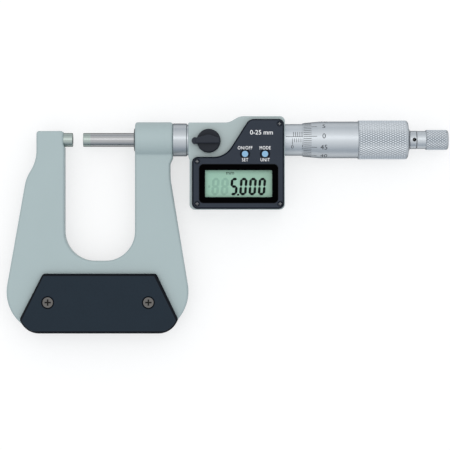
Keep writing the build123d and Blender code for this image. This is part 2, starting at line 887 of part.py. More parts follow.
# Encoder: bearing in the housing, rotor keyed to the spindle, stator facing its disc
with BuildPart() as rotor_bearing:
    bar(bearing_x, bearing_x + bearing_length, bearing_radius)
    bar(bearing_x, bearing_x + bearing_length, rotor_hub_radius + rotor_gap, Mode.SUBTRACT)
keep(rotor_bearing, "rotor_bearing")

with BuildPart() as encoder_rotor:
    bar(bearing_x, rotor_end_x, rotor_hub_radius)
    bar(rotor_disc_x, rotor_disc_x + rotor_disc_thickness, rotor_disc_radius)
    bar(bearing_x, rotor_end_x, spindle_radius + rotor_gap, Mode.SUBTRACT)
    post([(key_x, 0)], -rotor_hub_radius, 0, key_radius, Mode.SUBTRACT)
keep(encoder_rotor, "encoder_rotor")

with BuildPart() as encoder_stator:
    bar(stator_x, stator_x + stator_thickness, chamber_radius)
    stator_bore = chamber_radius - stator_ring_width
    bar(stator_x, stator_x + stator_thickness, stator_bore, Mode.SUBTRACT)
keep(encoder_stator, "encoder_stator")

keyway_floor = spindle_radius - keyway_depth
with BuildPart() as rotor_key:
    key_tip_z = -keyway_floor - key_end_gap
    post([(key_x, 0)], -rotor_hub_radius, key_tip_z, key_radius)
    bar(bearing_x, rotor_end_x, rotor_hub_radius, Mode.INTERSECT)
keep(rotor_key, "rotor_key")

# Inner sleeve: flange in the housing, bore over the spindle, slotted nut at its end
with BuildPart() as inner_sleeve:
    turned(
        [
            (flange_x, inner_sleeve_bore),
            (flange_x, chamber_radius),
            (housing_right_x, chamber_radius),
            (housing_right_x, inner_sleeve_radius),
            (sleeve_end_x, inner_sleeve_radius),
            (sleeve_end_x, nut_thread_radius),
            (nut_end_x, nut_thread_radius),
            (nut_end_x, thread_radius + thread_gap),
            (nut_start_x, thread_radius + thread_gap),
            (nut_start_x, inner_sleeve_bore),
        ]
    )
    with BuildSketch(Plane.YZ.offset(nut_end_x)) as nut_slot_section:
        with PolarLocations(nut_thread_radius, nut_slots, start_angle=90):
            Rectangle(nut_thread_radius, nut_slot_width)
    extrude(amount=-nut_slot_length, mode=Mode.SUBTRACT)
keep(inner_sleeve, "inner_sleeve")

with BuildPart() as adjusting_nut:
    nut_x = sleeve_end_x + adjusting_nut_setback
    nut_face_x = nut_x + adjusting_nut_length
    bar(nut_x, nut_face_x, adjusting_nut_radius)
    chamfer(adjusting_nut.edges().filter_by(GeomType.CIRCLE), adjusting_nut_setback)
    bar(nut_x, nut_face_x, nut_thread_radius, Mode.SUBTRACT)
    with BuildSketch(Plane.YZ.offset(nut_face_x)) as notch_section:
        Rectangle(2 * adjusting_nut_radius, adjusting_nut_notch)
    extrude(amount=-adjusting_nut_notch, mode=Mode.SUBTRACT)
keep(adjusting_nut, "adjusting_nut")

with BuildPart() as graduated_sleeve:
    bar(housing_right_x, sleeve_end_x, sleeve_radius)
    chamfer(graduated_sleeve.edges().sort_by(Axis.X)[-1], sleeve_chamfer)
    bar(housing_right_x, sleeve_end_x, inner_sleeve_radius, Mode.SUBTRACT)
keep(graduated_sleeve, "graduated_sleeve")

with BuildPart() as sleeve_set_screw:
    set_screw_z = housing_back_z + set_screw_sink
    post([set_screw_place], set_screw_z, -chamber_radius, set_screw_radius)
    cross_recess([set_screw_place], set_screw_z, set_screw_cross, -set_screw_cross_depth)
keep(sleeve_set_screw, "sleeve_set_screw")

# Spindle: measuring length, keyway, thread, relief and cone for the thimble
with BuildPart() as spindle:
    tip_end_x = reading + spindle_tip_length
    thread_root = spindle_radius - thread_relief
    turned(
        [
            (tip_end_x, 0),
            (tip_end_x, spindle_radius),
            (thread_start_x - relief_length, spindle_radius),
            (thread_start_x - relief_length, thread_root),
            (thread_start_x, thread_root),
            (thread_start_x, thread_radius),
            (thread_end_x, thread_radius),
            (thread_end_x, thread_root),
            (cone_start_x, thread_root),
            (cone_start_x, cone_radius),
            (cone_end_x, cone_end_radius),
            (cone_end_x, stub_radius),
            (cone_end_x - stub_engagement, stub_radius),
            (cone_end_x - stub_engagement, 0),
        ]
    )
    keyway_start_x = key_x - (measuring_range - reading) - key_radius - keyway_run
    keyway_end_x = key_x + reading + key_radius + keyway_run
    keyway_half = key_radius + key_side_gap
    slab(
        box_corners(keyway_start_x, -keyway_half, keyway_end_x, keyway_half),
        -spindle_radius,
        -keyway_floor,
        Mode.SUBTRACT,
    )
keep(spindle, "spindle")

with BuildPart() as spindle_tip:
    bar(reading, tip_end_x, spindle_radius)
    chamfer(spindle_tip.edges().sort_by(Axis.X)[0], tip_chamfer)
keep(spindle_tip, "spindle_tip")

# Thimble: bevelled edge, plain drum, grip, and the hub that sits on the spindle's cone
with BuildPart() as thimble:
    seat_x = ratchet_collar_x - thimble_seat_depth
    hub_gap_start = cone_radius + cone_gap
    hub_gap_end = cone_end_radius + cone_gap
    grip_start_x = thimble_end_x - thimble_grip_length
    turned(
        [
            (thimble_edge_x, thimble_bore),
            (thimble_edge_x, thimble_bore + thimble_edge_wall),
            (thimble_edge_x + thimble_bevel_length, thimble_radius, thimble_bevel_length / 2),
            (grip_start_x, thimble_radius),
            (grip_start_x, thimble_grip_radius),
            (thimble_end_x, thimble_grip_radius, thimble_end_radius),
            (thimble_end_x, thimble_end_boss_root),
            (ratchet_collar_x, thimble_end_boss_radius),
            (ratchet_collar_x, ratchet_collar_radius + ratchet_seat_gap),
            (seat_x, ratchet_collar_radius + ratchet_seat_gap),
            (seat_x, stub_shoulder_radius),
            (cone_end_x, stub_shoulder_radius),
            (cone_end_x, hub_gap_end),
            (cone_start_x, hub_gap_start),
            (cone_start_x, thimble_bore, thimble_bore_corner),
        ]
    )
keep(thimble, "thimble")

# Ratchet body: stub in the spindle, collar with wrench hole, keyed step and axle
with BuildPart() as ratchet_body:
    groove_end_x = ratchet_collar_x + collar_groove_width
    groove_radius = ratchet_collar_radius - collar_groove_depth
    pocket_x = ratchet_collar_end_x - clutch_pocket_depth
    key_end_x = ratchet_collar_end_x + clutch_key_overhang
    turned(
        [
            (cone_end_x - stub_engagement, 0),
            (cone_end_x - stub_engagement, stub_radius),
            (cone_end_x + stub_shoulder_gap, stub_radius),
            (cone_end_x + stub_shoulder_gap, stub_shoulder_radius),
            (seat_x, stub_shoulder_radius),
            (seat_x, ratchet_collar_radius),
            (ratchet_collar_x, ratchet_collar_radius),
            (ratchet_collar_x, groove_radius),
            (groove_end_x, groove_radius),
            (groove_end_x, ratchet_collar_radius),
            (ratchet_collar_end_x, ratchet_collar_radius),
            (ratchet_collar_end_x, clutch_pocket_radius),
            (pocket_x, clutch_pocket_radius),
            (pocket_x, clutch_key_radius),
            (key_end_x, clutch_key_radius),
            (key_end_x, axle_radius),
            (axle_end_x, axle_radius),
            (axle_end_x, retaining_screw_radius),
            (axle_end_x - retaining_screw_length, retaining_screw_radius),
            (axle_end_x - retaining_screw_length, 0),
        ]
    )
    with BuildSketch(Plane.YZ.offset(pocket_x)) as key_flats:
        with GridLocations(0, 2 * clutch_key_radius + clutch_key_flats, 1, 2):
            Rectangle(2 * clutch_key_radius, 2 * clutch_key_radius)
        Circle(clutch_pocket_radius, mode=Mode.INTERSECT)
    extrude(amount=key_end_x - pocket_x, mode=Mode.SUBTRACT)
    wrench_hole = [(ratchet_collar_end_x - wrench_hole_distance, 0)]
    post(wrench_hole, clutch_key_radius, ratchet_collar_radius, wrench_hole_radius, Mode.SUBTRACT)
keep(ratchet_body, "ratchet_body")


def saw_teeth(root_x, height):
    """Saw teeth round the x axis, standing on a face at root_x and rising by height."""
    step = 2 * math.pi / tooth_count
    profiles = []
    for radius in (tooth_inner_radius, clutch_pocket_radius):
        flank_plane = Plane(origin=(root_x, 0, radius), x_dir=(0, 1, 0), z_dir=(0, 0, 1))
        width = radius * math.tan(step)
        with BuildSketch(flank_plane) as flank:
            with BuildLine():
                Polyline((0, 0), (width, 0), (0, -height), close=True)
            make_face()
        profiles.append(flank.sketch.face())
    tooth = loft(profiles, mode=Mode.PRIVATE)
    return [tooth.rotate(Axis.X, 360 / tooth_count * i) for i in range(tooth_count)]


with BuildPart() as ratchet_clutch:
    clutch_x = clutch_face_x - clutch_thickness
    bar(clutch_x, clutch_face_x, clutch_radius)
    add(saw_teeth(clutch_face_x, tooth_height))
    bar(clutch_x, clutch_crest_x, clutch_radius, Mode.INTERSECT)
    with BuildSketch(Plane.YZ.offset(clutch_x)) as clutch_bore:
        Circle(clutch_key_radius + clutch_gap)
        Rectangle(
            2 * clutch_pocket_radius, clutch_key_flats + 2 * clutch_gap, mode=Mode.INTERSECT
        )
    extrude(amount=clutch_crest_x - clutch_x, mode=Mode.SUBTRACT)
keep(ratchet_clutch, "ratchet_clutch")

with BuildPart() as ratchet_spring:
    spring_start_x = pocket_x + spring_wire_radius
    spring_end_x = clutch_x - spring_wire_radius
    with BuildLine() as spring_path:
        Helix(
            (spring_end_x - spring_start_x) / spring_turns,
            spring_end_x - spring_start_x,
            spring_radius,
            center=(spring_start_x, 0, 0),
            direction=(1, 0, 0),
        )
    with BuildSketch(Plane(spring_path.line @ 0, z_dir=spring_path.line % 0)):
        Circle(spring_wire_radius)
    sweep()
keep(ratchet_spring, "ratchet_spring")

# Ratchet knob: plain neck, grip, bore for the axle and the mating teeth
with BuildPart() as ratchet_knob:
    grip_x = knob_start_x + knob_neck_length
    turned(
        [
            (knob_start_x, clutch_pocket_radius),
            (knob_start_x, knob_neck_radius),
            (grip_x, knob_neck_radius),
            (grip_x, knob_radius),
            (knob_end_x, knob_radius, knob_end_radius),
            (knob_end_x, knob_end_recess_radius),
            (knob_seat_x, knob_end_recess_radius),
            (knob_seat_x, axle_radius + axle_gap),
            (knob_root_x, axle_radius + axle_gap),
            (knob_root_x, clutch_pocket_radius),
        ]
    )
    add(saw_teeth(knob_root_x, -tooth_height))
keep(ratchet_knob, "ratchet_knob")

with BuildPart() as ratchet_retaining_screw:
    head_end_x = axle_end_x + retaining_head_height
    bar(axle_end_x - retaining_screw_length, axle_end_x, retaining_screw_radius)
    bar(axle_end_x, head_end_x, retaining_head_radius)
    with BuildSketch(Plane.YZ.offset(head_end_x)) as head_slot:
        Rectangle(2 * retaining_head_radius, retaining_slot_width)
    extrude(amount=-retaining_slot_depth, mode=Mode.SUBTRACT)
keep(ratchet_retaining_screw, "ratchet_retaining_screw")

# Battery, its two contacts, and the coin slotted cap with its seal
with BuildPart() as battery:
    post([battery_place], battery_z, battery_z + battery_height, battery_radius)
    fillet(battery.edges(), battery_edge)
keep(battery, "battery")

with BuildPart() as battery_contacts:
    top_z = battery_z + battery_height
    leg_y = battery_y - battery_radius - battery_gap - well_wall
    side_x = battery_x + battery_radius
    slab(
        box_corners(
            battery_x - contact_width / 2,
            leg_y - contact_thickness,
            battery_x + contact_width / 2,
            battery_y,
        ),
        top_z,
        top_z + contact_thickness,
    )
    slab(
        box_corners(
            battery_x - contact_width / 2,
            leg_y - contact_thickness,
            battery_x + contact_width / 2,
            leg_y,
        ),
        top_z,
        board_back_z,
    )
    slab(
        box_corners(
            side_x,
            battery_y - side_contact_width / 2,
            side_x + contact_thickness,
            battery_y + side_contact_width / 2,
        ),
        battery_z,
        board_back_z,
    )
keep(battery_contacts, "battery_contacts")

with BuildPart() as battery_cap:
    cap_face_z = housing_back_z + cap_sink
    post([battery_place], cap_face_z, cap_face_z + cap_thickness, cap_radius)
    post([battery_place], cap_face_z + cap_thickness, battery_z, cap_boss_radius)
    with BuildSketch(Plane.XY.offset(cap_face_z)) as coin_slot:
        with Locations(battery_place):
            SlotOverall(cap_slot_length, cap_slot_width)
    extrude(amount=cap_slot_depth, mode=Mode.SUBTRACT)
keep(battery_cap, "battery_cap")

with BuildPart() as battery_cap_seal:
    post([battery_place], cap_seat_z, battery_z, cap_boss_radius + cap_seal_width)
    fillet(battery_cap_seal.edges().filter_by(GeomType.CIRCLE), cap_seal_edge)
    post([battery_place], cap_seat_z, battery_z, cap_boss_radius, Mode.SUBTRACT)
keep(battery_cap_seal, "battery_cap_seal")

# Insulating plates on both faces of the frame's foot, each with two countersunk screws
with BuildPart() as front_insulating_plate:
    plate_top_z = frame_half + plate_thickness
    slab(plate_outline, frame_half, plate_top_z)
    chamfer(front_insulating_plate.faces().sort_by(Axis.Z)[-1].edges(), plate_bevel)
    with Locations(Plane.XY.offset(plate_top_z)):
        with Locations(*plate_screws):
            CounterSinkHole(
                plate_screw_radius + plate_hole_gap,
                plate_screw_head_radius + plate_hole_gap + plate_screw_sink,
                counter_sink_angle=plate_screw_angle,
            )
keep(front_insulating_plate, "front_insulating_plate")

with BuildPart() as front_plate_screws:
    head_top_z = plate_top_z - plate_screw_sink
    head_root_z = head_top_z - plate_screw_head_height
    post(plate_screws, frame_half - plate_screw_reach, head_root_z, plate_screw_radius)
    with BuildSketch(Plane.XY.offset(head_root_z)) as head_root:
        with Locations(*plate_screws):
            Circle(plate_screw_radius)
    extrude(amount=plate_screw_head_height, taper=-plate_screw_angle / 2)
    cross_recess(plate_screws, head_top_z, plate_screw_cross, plate_screw_head_height / 2)
keep(front_plate_screws, "front_plate_screws")

with BuildPart() as rear_insulating_plate:
    mirror(front_insulating_plate.part, about=Plane.XY)
keep(rear_insulating_plate, "rear_insulating_plate")

with BuildPart() as rear_plate_screws:
    mirror(front_plate_screws.part, about=Plane.XY)
keep(rear_plate_screws, "rear_plate_screws")
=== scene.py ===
"""Looks of the deep throat micrometer: finishes, knurls, graduations, display and stage.

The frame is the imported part, in metres: x along the spindle from the anvil's face, y from the
throat's floor to the spindle, z out of the display.
"""

import math

import bpy
from bpy.props import FloatProperty, FloatVectorProperty, IntProperty, PointerProperty
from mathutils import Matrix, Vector


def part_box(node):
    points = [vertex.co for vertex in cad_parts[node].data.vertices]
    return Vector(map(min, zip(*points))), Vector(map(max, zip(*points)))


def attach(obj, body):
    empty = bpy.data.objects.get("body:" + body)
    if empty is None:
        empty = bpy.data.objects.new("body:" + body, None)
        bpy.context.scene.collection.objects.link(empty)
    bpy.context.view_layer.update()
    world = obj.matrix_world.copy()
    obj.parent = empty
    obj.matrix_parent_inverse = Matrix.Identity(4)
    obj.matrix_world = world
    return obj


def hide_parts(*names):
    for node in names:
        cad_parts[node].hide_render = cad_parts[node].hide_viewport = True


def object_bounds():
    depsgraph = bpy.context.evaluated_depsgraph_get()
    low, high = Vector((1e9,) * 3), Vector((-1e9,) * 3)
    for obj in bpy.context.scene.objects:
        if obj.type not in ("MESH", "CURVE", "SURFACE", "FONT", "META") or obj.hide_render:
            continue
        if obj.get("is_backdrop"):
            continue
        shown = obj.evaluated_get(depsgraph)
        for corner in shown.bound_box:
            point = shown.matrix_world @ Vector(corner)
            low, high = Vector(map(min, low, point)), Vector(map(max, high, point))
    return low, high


bl_info = {
    "name": "Deep throat micrometer",
    "version": (1, 0, 0),
    "blender": (4, 5, 0),
    "location": "3D View > Sidebar > Micrometer",
    "description": "Dresses the packed micrometer with finishes, knurls, graduations and a display",
    "category": "Object",
}

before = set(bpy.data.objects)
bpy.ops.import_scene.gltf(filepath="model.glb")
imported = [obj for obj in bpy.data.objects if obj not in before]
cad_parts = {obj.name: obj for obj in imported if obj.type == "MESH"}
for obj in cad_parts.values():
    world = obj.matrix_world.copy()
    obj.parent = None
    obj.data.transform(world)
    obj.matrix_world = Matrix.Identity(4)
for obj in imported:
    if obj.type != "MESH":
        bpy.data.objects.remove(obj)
MM = 0.001
TURN = 2 * math.pi

# How far the thimble's barrel lies under its grip
BARREL_STEP = 0.55 * MM

# Inputs that all metals share
METAL = {"Metallic": 1.0, "Specular_Tint": (0.02, 0.02, 0.03)}

# How far under a moulding's face its bevel counts as begun, and the thickness of a print
BEVEL_EDGE = 0.05 * MM
PRINT = 0.02 * MM

# Segments of the digits, and each segment's side and level round the digit's middle
SEGMENTS = {"0": "abcdef", "5": "acdfg", "8": "abcdefg"}
SEGMENT_SIDES = {"b": 1, "c": 1, "e": -1, "f": -1}
SEGMENT_LEVELS = {"a": 2, "b": 1, "f": 1, "g": 0, "c": -1, "e": -1, "d": -2}


def low(node):
    """Lowest corner of a CAD node."""
    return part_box(node)[0]


def high(node):
    """Highest corner of a CAD node."""
    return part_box(node)[1]


def middle(node):
    """Centre of a CAD node's box."""
    return (low(node) + high(node)) / 2


def amount(name, default, description, **kind):
    """A number property, with its unit or subtype."""
    return FloatProperty(name=name, description=description, default=default, **kind)


def length(name, millimetres, description):
    """A length property in metres, from millimetres."""
    return amount(name, millimetres * MM, description, min=0.0, unit="LENGTH", precision=5)


def angle(name, degrees, description):
    """An angle property in radians, from degrees."""
    return amount(name, math.radians(degrees), description, subtype="ANGLE")


def ratio(name, default, description):
    """A ratio property."""
    return amount(name, default, description, subtype="FACTOR")


def colour(name, default, description):
    """A linear colour property."""
    return FloatVectorProperty(
        name=name, description=description, default=default, size=3, min=0.0, max=1.0,
        subtype="COLOR",
    )


class FinishSettings(bpy.types.PropertyGroup):
    """Colours of the finishes."""

    paint: colour("Paint", (0.4, 0.487, 0.492), "Enamel of the frame")
    housing: colour("Housing", (0.418, 0.493, 0.492), "Enamel of the housing, a little warmer")
    cover: colour("Cover", (0.0305, 0.0385, 0.053), "Moulded front cover")
    plate: colour("Plates", (0.0145, 0.0245, 0.036), "Insulating plates")
    # Painted shade on the mouldings' bevels and edges, round the buttons and round the plates'
    # screws
    edge: colour("Moulded edges", (0.004, 0.007, 0.014), "Bevels and rings of the mouldings")
    lever: colour("Lock lever", (0.0175, 0.0205, 0.0275), "Moulded lock lever")
    button: colour("Buttons", (0.25, 0.457, 0.652), "Push buttons")
    rubber: colour("Rubber", (0.012, 0.012, 0.014), "Seals, gasket and button pad")
    board: colour("Laminate", (0.03, 0.16, 0.06), "Circuit board and encoder")
    steel: colour("Steel", (0.45, 0.455, 0.465), "Ground steel of the spindle and its nut")
    chrome: colour("Satin chrome", (0.54, 0.575, 0.605), "Plating of thimble, sleeve and ratchet")
    carbide: colour("Carbide", (0.38, 0.44, 0.415), "Anvil and the tips of anvil and spindle")
    brass: colour("Brass", (0.62, 0.42, 0.16), "Bushes and contacts")
    screw: colour("Screws", (0.135, 0.13, 0.125), "Darkened screw heads")
    # Painted shade in the recesses of the plate screws' heads
    recess: colour("Screw recesses", (0.016, 0.016, 0.015), "Recesses of the darkened heads")
    # Painted shade in the knurls' grooves
    groove: colour("Knurl grooves", (0.06, 0.065, 0.075), "Bottom of the knurls")
    # Painted shade in the ratchet's wrench hole and in the gap before the knob
    hole: colour("Ratchet hole", (0.004, 0.004, 0.005), "Wrench hole and gap of the ratchet")
    border: colour("Window border", (0.0006, 0.0006, 0.0008), "Black print round the view")
    glass: colour("Display film", (0.388, 0.645, 0.508), "Reflective film behind the digits")
    glass_end: colour("Display film, right", (0.35, 0.543, 0.425), "Film at the right")
    digit: colour("Digits", (0.002, 0.006, 0.005), "Dark segments of the display")
    engraving: colour("Engraving", (0.03, 0.033, 0.04), "Ink of the graduations")
    legend: colour("Legends", (0.93, 0.935, 0.94), "Print on the cover")


class KnurlSettings(bpy.types.PropertyGroup):
    """Sizes of the diamond knurls."""

    grip_length: length("Grip diamond length", 2.3, "Length of the thimble's diamonds")
    grip_width: length("Grip diamond width", 1.15, "Width of the thimble's diamonds")
    knob_length: length("Knob diamond length", 1.6, "Length of the knob's diamonds")
    knob_width: length("Knob diamond width", 1.25, "Width of the knob's diamonds")
    depth: length("Depth", 0.24, "Height of the diamonds")
    groove: length("Groove", 0.36, "Width of a diamond's sloping edge")


class ScaleSettings(bpy.types.PropertyGroup):
    """Sizes of the graduations."""

    turn: angle("Turn", 9.5, "Angle of the reference line from straight up")
    line_width: length("Line width", 0.22, "Width of a graduation")
    ink: length("Ink", 0.012, "Thickness of the filled lines and numbers")
    divisions: IntProperty(
        name="Divisions", description="Graduations round the thimble", default=50
    )
    short_mark: length("Short mark", 4.0, "Length of a graduation on the thimble")
    long_mark: length("Long mark", 6.6, "Length of every fifth graduation")
    number_size: length("Number size", 3.5, "Type size of the thimble's numbers")
    number_place: length("Number place", 9.9, "Distance of the numbers from the edge")
    sleeve_mark: length("Sleeve mark", 1.8, "Length of a millimetre mark on the sleeve")
    sleeve_fifth: length("Sleeve long mark", 3.0, "Length of every fifth millimetre mark")
    half_mark: length("Half mark", 2.3, "Length of a half-millimetre mark on the sleeve")
    sleeve_number_size: length("Sleeve number size", 2.5, "Type size on the sleeve")


class DisplaySettings(bpy.types.PropertyGroup):
    """Sizes of the display and the legends."""

    view_inset: length("View inset", 2.65, "Width of the window's black border")
    digit_height: length("Digit height", 8.45, "Height of a digit")
    digit_width: length("Digit width", 3.7, "Width of a digit")
    digit_pitch: length("Digit pitch", 4.37, "Distance between digits")
    digit_inset: length("Digit inset", 7.42, "Distance of the last digit from the edge")
    stroke: length("Stroke", 1.42, "Width of a segment")
    slant: angle("Slant", 4.5, "Lean of the digits")
    unit_size: length("Unit size", 2.6, "Type size of the unit in the display")
    legend_size: length("Legend size", 2.2, "Type size of the button legends")
    legend_distance: length("Legend distance", 2.8, "Distance of a legend from its button")
    narrowness: ratio("Narrowness", 0.8, "Width of the legends' letters for their height")
    weight: length("Weight", 0.02, "Thickening of the legends' letters")
    range_size: length("Range size", 3.0, "Type size of the measuring range")


class StageSettings(bpy.types.PropertyGroup):
    """Camera, lamp and sky."""

    distance: length("Camera distance", 1000.0, "Height of the camera over the spindle")
    centre_x: amount("Centre x", 72.25 * MM, "Middle of the view", unit="LENGTH")
    centre_y: amount("Centre y", -40.4 * MM, "Middle of the view", unit="LENGTH")
    view_width: length("View width", 213.75, "Width that the view spans at the spindle")
    lamp: amount("Lamp", 0.85, "Power of the lamp above", unit="POWER")
    lamp_distance: length("Lamp distance", 1250.0, "Distance of the lamp from the micrometer")
    zenith: ratio("Zenith", 1.22, "Strength of the brightest sky")
    horizon: ratio("Horizon", 0.54, "Strength of the sky's rim")
    rim: colour("Rim", (0.78, 0.88, 1.0), "Colour of the sky's rim")
    lean: angle("Lean", 14.0, "Angle of the brightest sky from straight up")


# Shaders


class Term:
    """A shader output. Sums with it add Math nodes."""

    def __init__(self, finish, socket):
        self.finish = finish
        self.socket = socket

    def __add__(self, other):
        return self.finish.math("ADD", self, other)

    __radd__ = __add__

    def __sub__(self, other):
        return self.finish.math("SUBTRACT", self, other)

    def __rsub__(self, other):
        return self.finish.math("SUBTRACT", other, self)

    def __mul__(self, other):
        return self.finish.math("MULTIPLY", self, other)

    __rmul__ = __mul__

    def __lt__(self, other):
        return self.finish.math("LESS_THAN", self, other)

    def __gt__(self, other):
        return self.finish.math("GREATER_THAN", self, other)

    def __abs__(self):
        return self.finish.math("ABSOLUTE", self, 0.0)


class Finish:
    """The node tree of a material or a world under construction."""

    def __init__(self, name, kind="materials"):
        self.owner = getattr(bpy.data, kind).new(name)
        self.owner.use_nodes = True
        self.tree = self.owner.node_tree
        self.tree.nodes.clear()

    def node(self, kind, settings=None, inputs=None, output=0):
        """Adds a node with its settings and the values or links of its sockets."""
        made = self.tree.nodes.new(kind)
        for key, value in (settings or {}).items():
            setattr(made, key, value)
        for key, value in (inputs or {}).items():
            if isinstance(value, Term):
                self.tree.links.new(value.socket, made.inputs[key])
            else:
                made.inputs[key].default_value = value
        return Term(self, made.outputs[output]) if made.outputs else None

    def math(self, operation, first, second):
        """A Math node on two values."""
        return self.node("ShaderNodeMath", {"operation": operation}, {0: first, 1: second})

    def either(self, *masks):
        """Where at least one mask is set."""
        found = masks[0]
        for mask in masks[1:]:
            found = self.math("MAXIMUM", found, mask)
        return found

    def place(self, stretch=(1.0, 1.0, 1.0), shift=(0.0, 0.0, 0.0)):
        """Object coordinates, shifted and stretched."""
        coordinates = self.node("ShaderNodeTexCoord", output="Object")
        return self.node(
            "ShaderNodeMapping",
            inputs={"Vector": coordinates, "Location": shift, "Scale": stretch},
        )

    def parts(self, term, names):
        """Several outputs of the node that a term comes from."""
        outputs = term.socket.node.outputs
        return [Term(self, outputs[name]) for name in names]

    def axes_about(self, centre=(0.0, 0.0, 0.0)):
        """The x, y and z of the object coordinates from a centre."""
        away = self.place(shift=tuple(-part for part in centre))
        return self.parts(self.node("ShaderNodeSeparateXYZ", inputs={"Vector": away}), "XYZ")

    def noise(self, scale, detail=3.0, stretch=(1.0, 1.0, 1.0)):
        """Noise from 0 to 1, by its features per metre, which can differ along the axes."""
        return self.node(
            "ShaderNodeTexNoise",
            inputs={"Vector": self.place(stretch), "Scale": scale, "Detail": detail},
        )

    def blend(self, share, first, second):
        """A colour between two, by a share."""
        return self.node(
            "ShaderNodeMix",
            {"data_type": "RGBA"},
            {"Factor": share, 6: opaque(first), 7: opaque(second)},
            output=2,
        )

    def uneven(self, share, base, darkest, lightest):
        """A colour that is darker and lighter by a share."""
        return self.blend(share, shade(base, darkest), shade(base, lightest))

    def span(self, share, start, end):
        """A value between two, by a share."""
        return share * (end - start) + start

    def within(self, places, radius):
        """Where a surface is within a radius of upright axes through some places."""
        return self.either(
            *(
                x * x + y * y < radius * radius
                for x, y, _ in (self.axes_about(place) for place in places)
            )
        )

    def principled(self, **inputs):
        """A material's main shader, from socket names with underscores for spaces."""
        named = {key.replace("_", " "): opaque(value) for key, value in inputs.items()}
        shader = self.node("ShaderNodeBsdfPrincipled", inputs=named)
        self.node("ShaderNodeOutputMaterial", inputs={"Surface": shader})
        return self.owner

    def skin(self, tint, layers, grains, roughness, spread, relief, height, **rest):
        """A material under layers of colour, whose grains vary its roughness and its height."""
        for mask, layer in layers:
            tint = self.blend(mask(self), tint, layer)
        return self.principled(
            Base_Color=tint,
            Roughness=self.span(grains, roughness - spread, roughness + spread),
            Normal=self.node(
                "ShaderNodeBump",
                inputs={"Height": grains, "Strength": relief, "Distance": height},
            ),
            **rest,
        )


def opaque(value):
    """A colour with its alpha, and anything else as it is."""
    return value if isinstance(value, (Term, float)) else (*value, 1.0)


def shade(base, factor):
    """A colour made lighter or darker."""
    return tuple(min(1.0, part * factor) for part in base)


# Finishes


def enamel(name, base):
    """Baked enamel with a fine, slightly pebbled skin."""
    finish = Finish(name)
    pebbles = finish.noise(2600.0, detail=4.0)
    cloud = finish.noise(60.0, detail=2.0)
    speckle = finish.noise(5200.0, detail=2.0)
    tint = finish.uneven(cloud * 0.5 + speckle * 0.5, base, 0.95, 1.05)
    return finish.skin(
        tint, (), pebbles, roughness=0.46, spread=0.08, relief=0.22, height=0.05 * MM,
        Specular_IOR_Level=0.4,
    )


def turned_metal(name, base, roughness, relief=0.12, layers=()):
    """Metal turned or ground about the x axis, with fine rings and a soft cloudiness."""
    finish = Finish(name)
    rings = finish.noise(1.0, stretch=(9000.0, 160.0, 160.0))
    tint = finish.uneven(rings * 0.6 + finish.noise(110.0) * 0.4, base, 0.9, 1.08)
    return finish.skin(
        tint, layers, rings, roughness, spread=0.05, relief=relief, height=0.01 * MM, **METAL
    )


def plain_metal(name, base, roughness, layers=()):
    """Bare or plated metal with faint handling marks."""
    finish = Finish(name)
    marks = finish.noise(1.0, detail=4.0, stretch=(900.0, 5200.0, 5200.0))
    tint = finish.uneven(finish.noise(320.0), base, 0.85, 1.1)
    return finish.skin(
        tint, layers, marks, roughness, spread=0.07, relief=0.15, height=0.01 * MM, **METAL
    )


def moulded(name, base, roughness, relief=0.25, layers=(), gloss=0.5, grains_per_metre=4200.0):
    """Moulded plastic or rubber with a fine grain."""
    finish = Finish(name)
    grains = finish.noise(grains_per_metre)
    cloud = finish.noise(90.0, detail=2.0)
    tint = finish.uneven(cloud * 0.3 + grains * 0.7, base, 0.8, 1.2)
    return finish.skin(
        tint, layers, grains, roughness, spread=0.09, relief=relief, height=0.02 * MM,
        Specular_IOR_Level=gloss,
    )


def ink(name, base, roughness=0.55):
    """Filled or printed lettering, a little uneven."""
    finish = Finish(name)
    spread = finish.noise(3000.0, detail=2.0)
    return finish.principled(
        Base_Color=finish.uneven(spread, base, 0.85, 1.15),
        Roughness=finish.span(spread, roughness, roughness + 0.1),
        Specular_IOR_Level=0.1,
    )


def dress(material, *nodes):
    """Gives CAD nodes a material in place of their own."""
    for node in nodes:
        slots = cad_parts[node].data.materials
        slots.clear()
        slots.append(material)


# Layers of colour: each has a mask, built for the shader it is laid in, and its colour


def recesses(node, tint):
    """Paints a tint, as painted shade or a painted glint, into the recesses of screws whose heads
    end at the top and bottom of a node.
    """
    head_edge = 0.1 * MM
    height = high(node).z - head_edge
    return [(lambda shader: abs(shader.axes_about()[2]) < height, tint)]


def ratchet_hole(finish):
    """Paints shade into the collar's wrench hole, a little wider than the hole, and into the gap
    before the knob.
    """
    hole_distance = 2.1 * MM
    hole_radius = 0.9 * MM
    gap = 0.35 * MM
    hole = Vector((high("thimble").x + hole_distance, 0, 0))
    gap_start = low("ratchet_knob").x - gap

    def hole_and_gap(shader):
        x, _, z = shader.axes_about()
        return shader.either(shader.within([hole], hole_radius) * (z > 0.0), x > gap_start)

    return [(hole_and_gap, finish.hole)]


def cover_bands(finish, buttons):
    """Paints shade on the cover's bevel and sides, along its edges and round the buttons, and the
    window's black print round its edge.
    """
    lowest = low("front_cover")
    highest = high("front_cover")
    band = 0.75 * MM
    ring_radius = 2.4 * MM
    window = middle("display_window")
    window_size = high("display_window") - low("display_window")
    surround = 0.25 * MM
    corner = 2.15 * MM
    straight = [size / 2 + surround - corner for size in window_size[:2]]

    # Painted shade on the bevel and sides, in stripes along the left, right and bottom edges, and
    # round the buttons
    def bands(shader):
        x, y, z = shader.axes_about()
        return shader.either(
            z < highest.z - BEVEL_EDGE,
            shader.within(buttons, ring_radius),
            x < lowest.x + band,
            x > highest.x - band,
            y < lowest.y + band,
        )

    def framed(shader):
        beyond_x, beyond_y = (
            shader.math("MAXIMUM", abs(part) - reach, 0.0)
            for part, reach in zip(shader.axes_about(window), straight)
        )
        return beyond_x * beyond_x + beyond_y * beyond_y < corner * corner

    return [(bands, finish.edge), (framed, finish.border)]


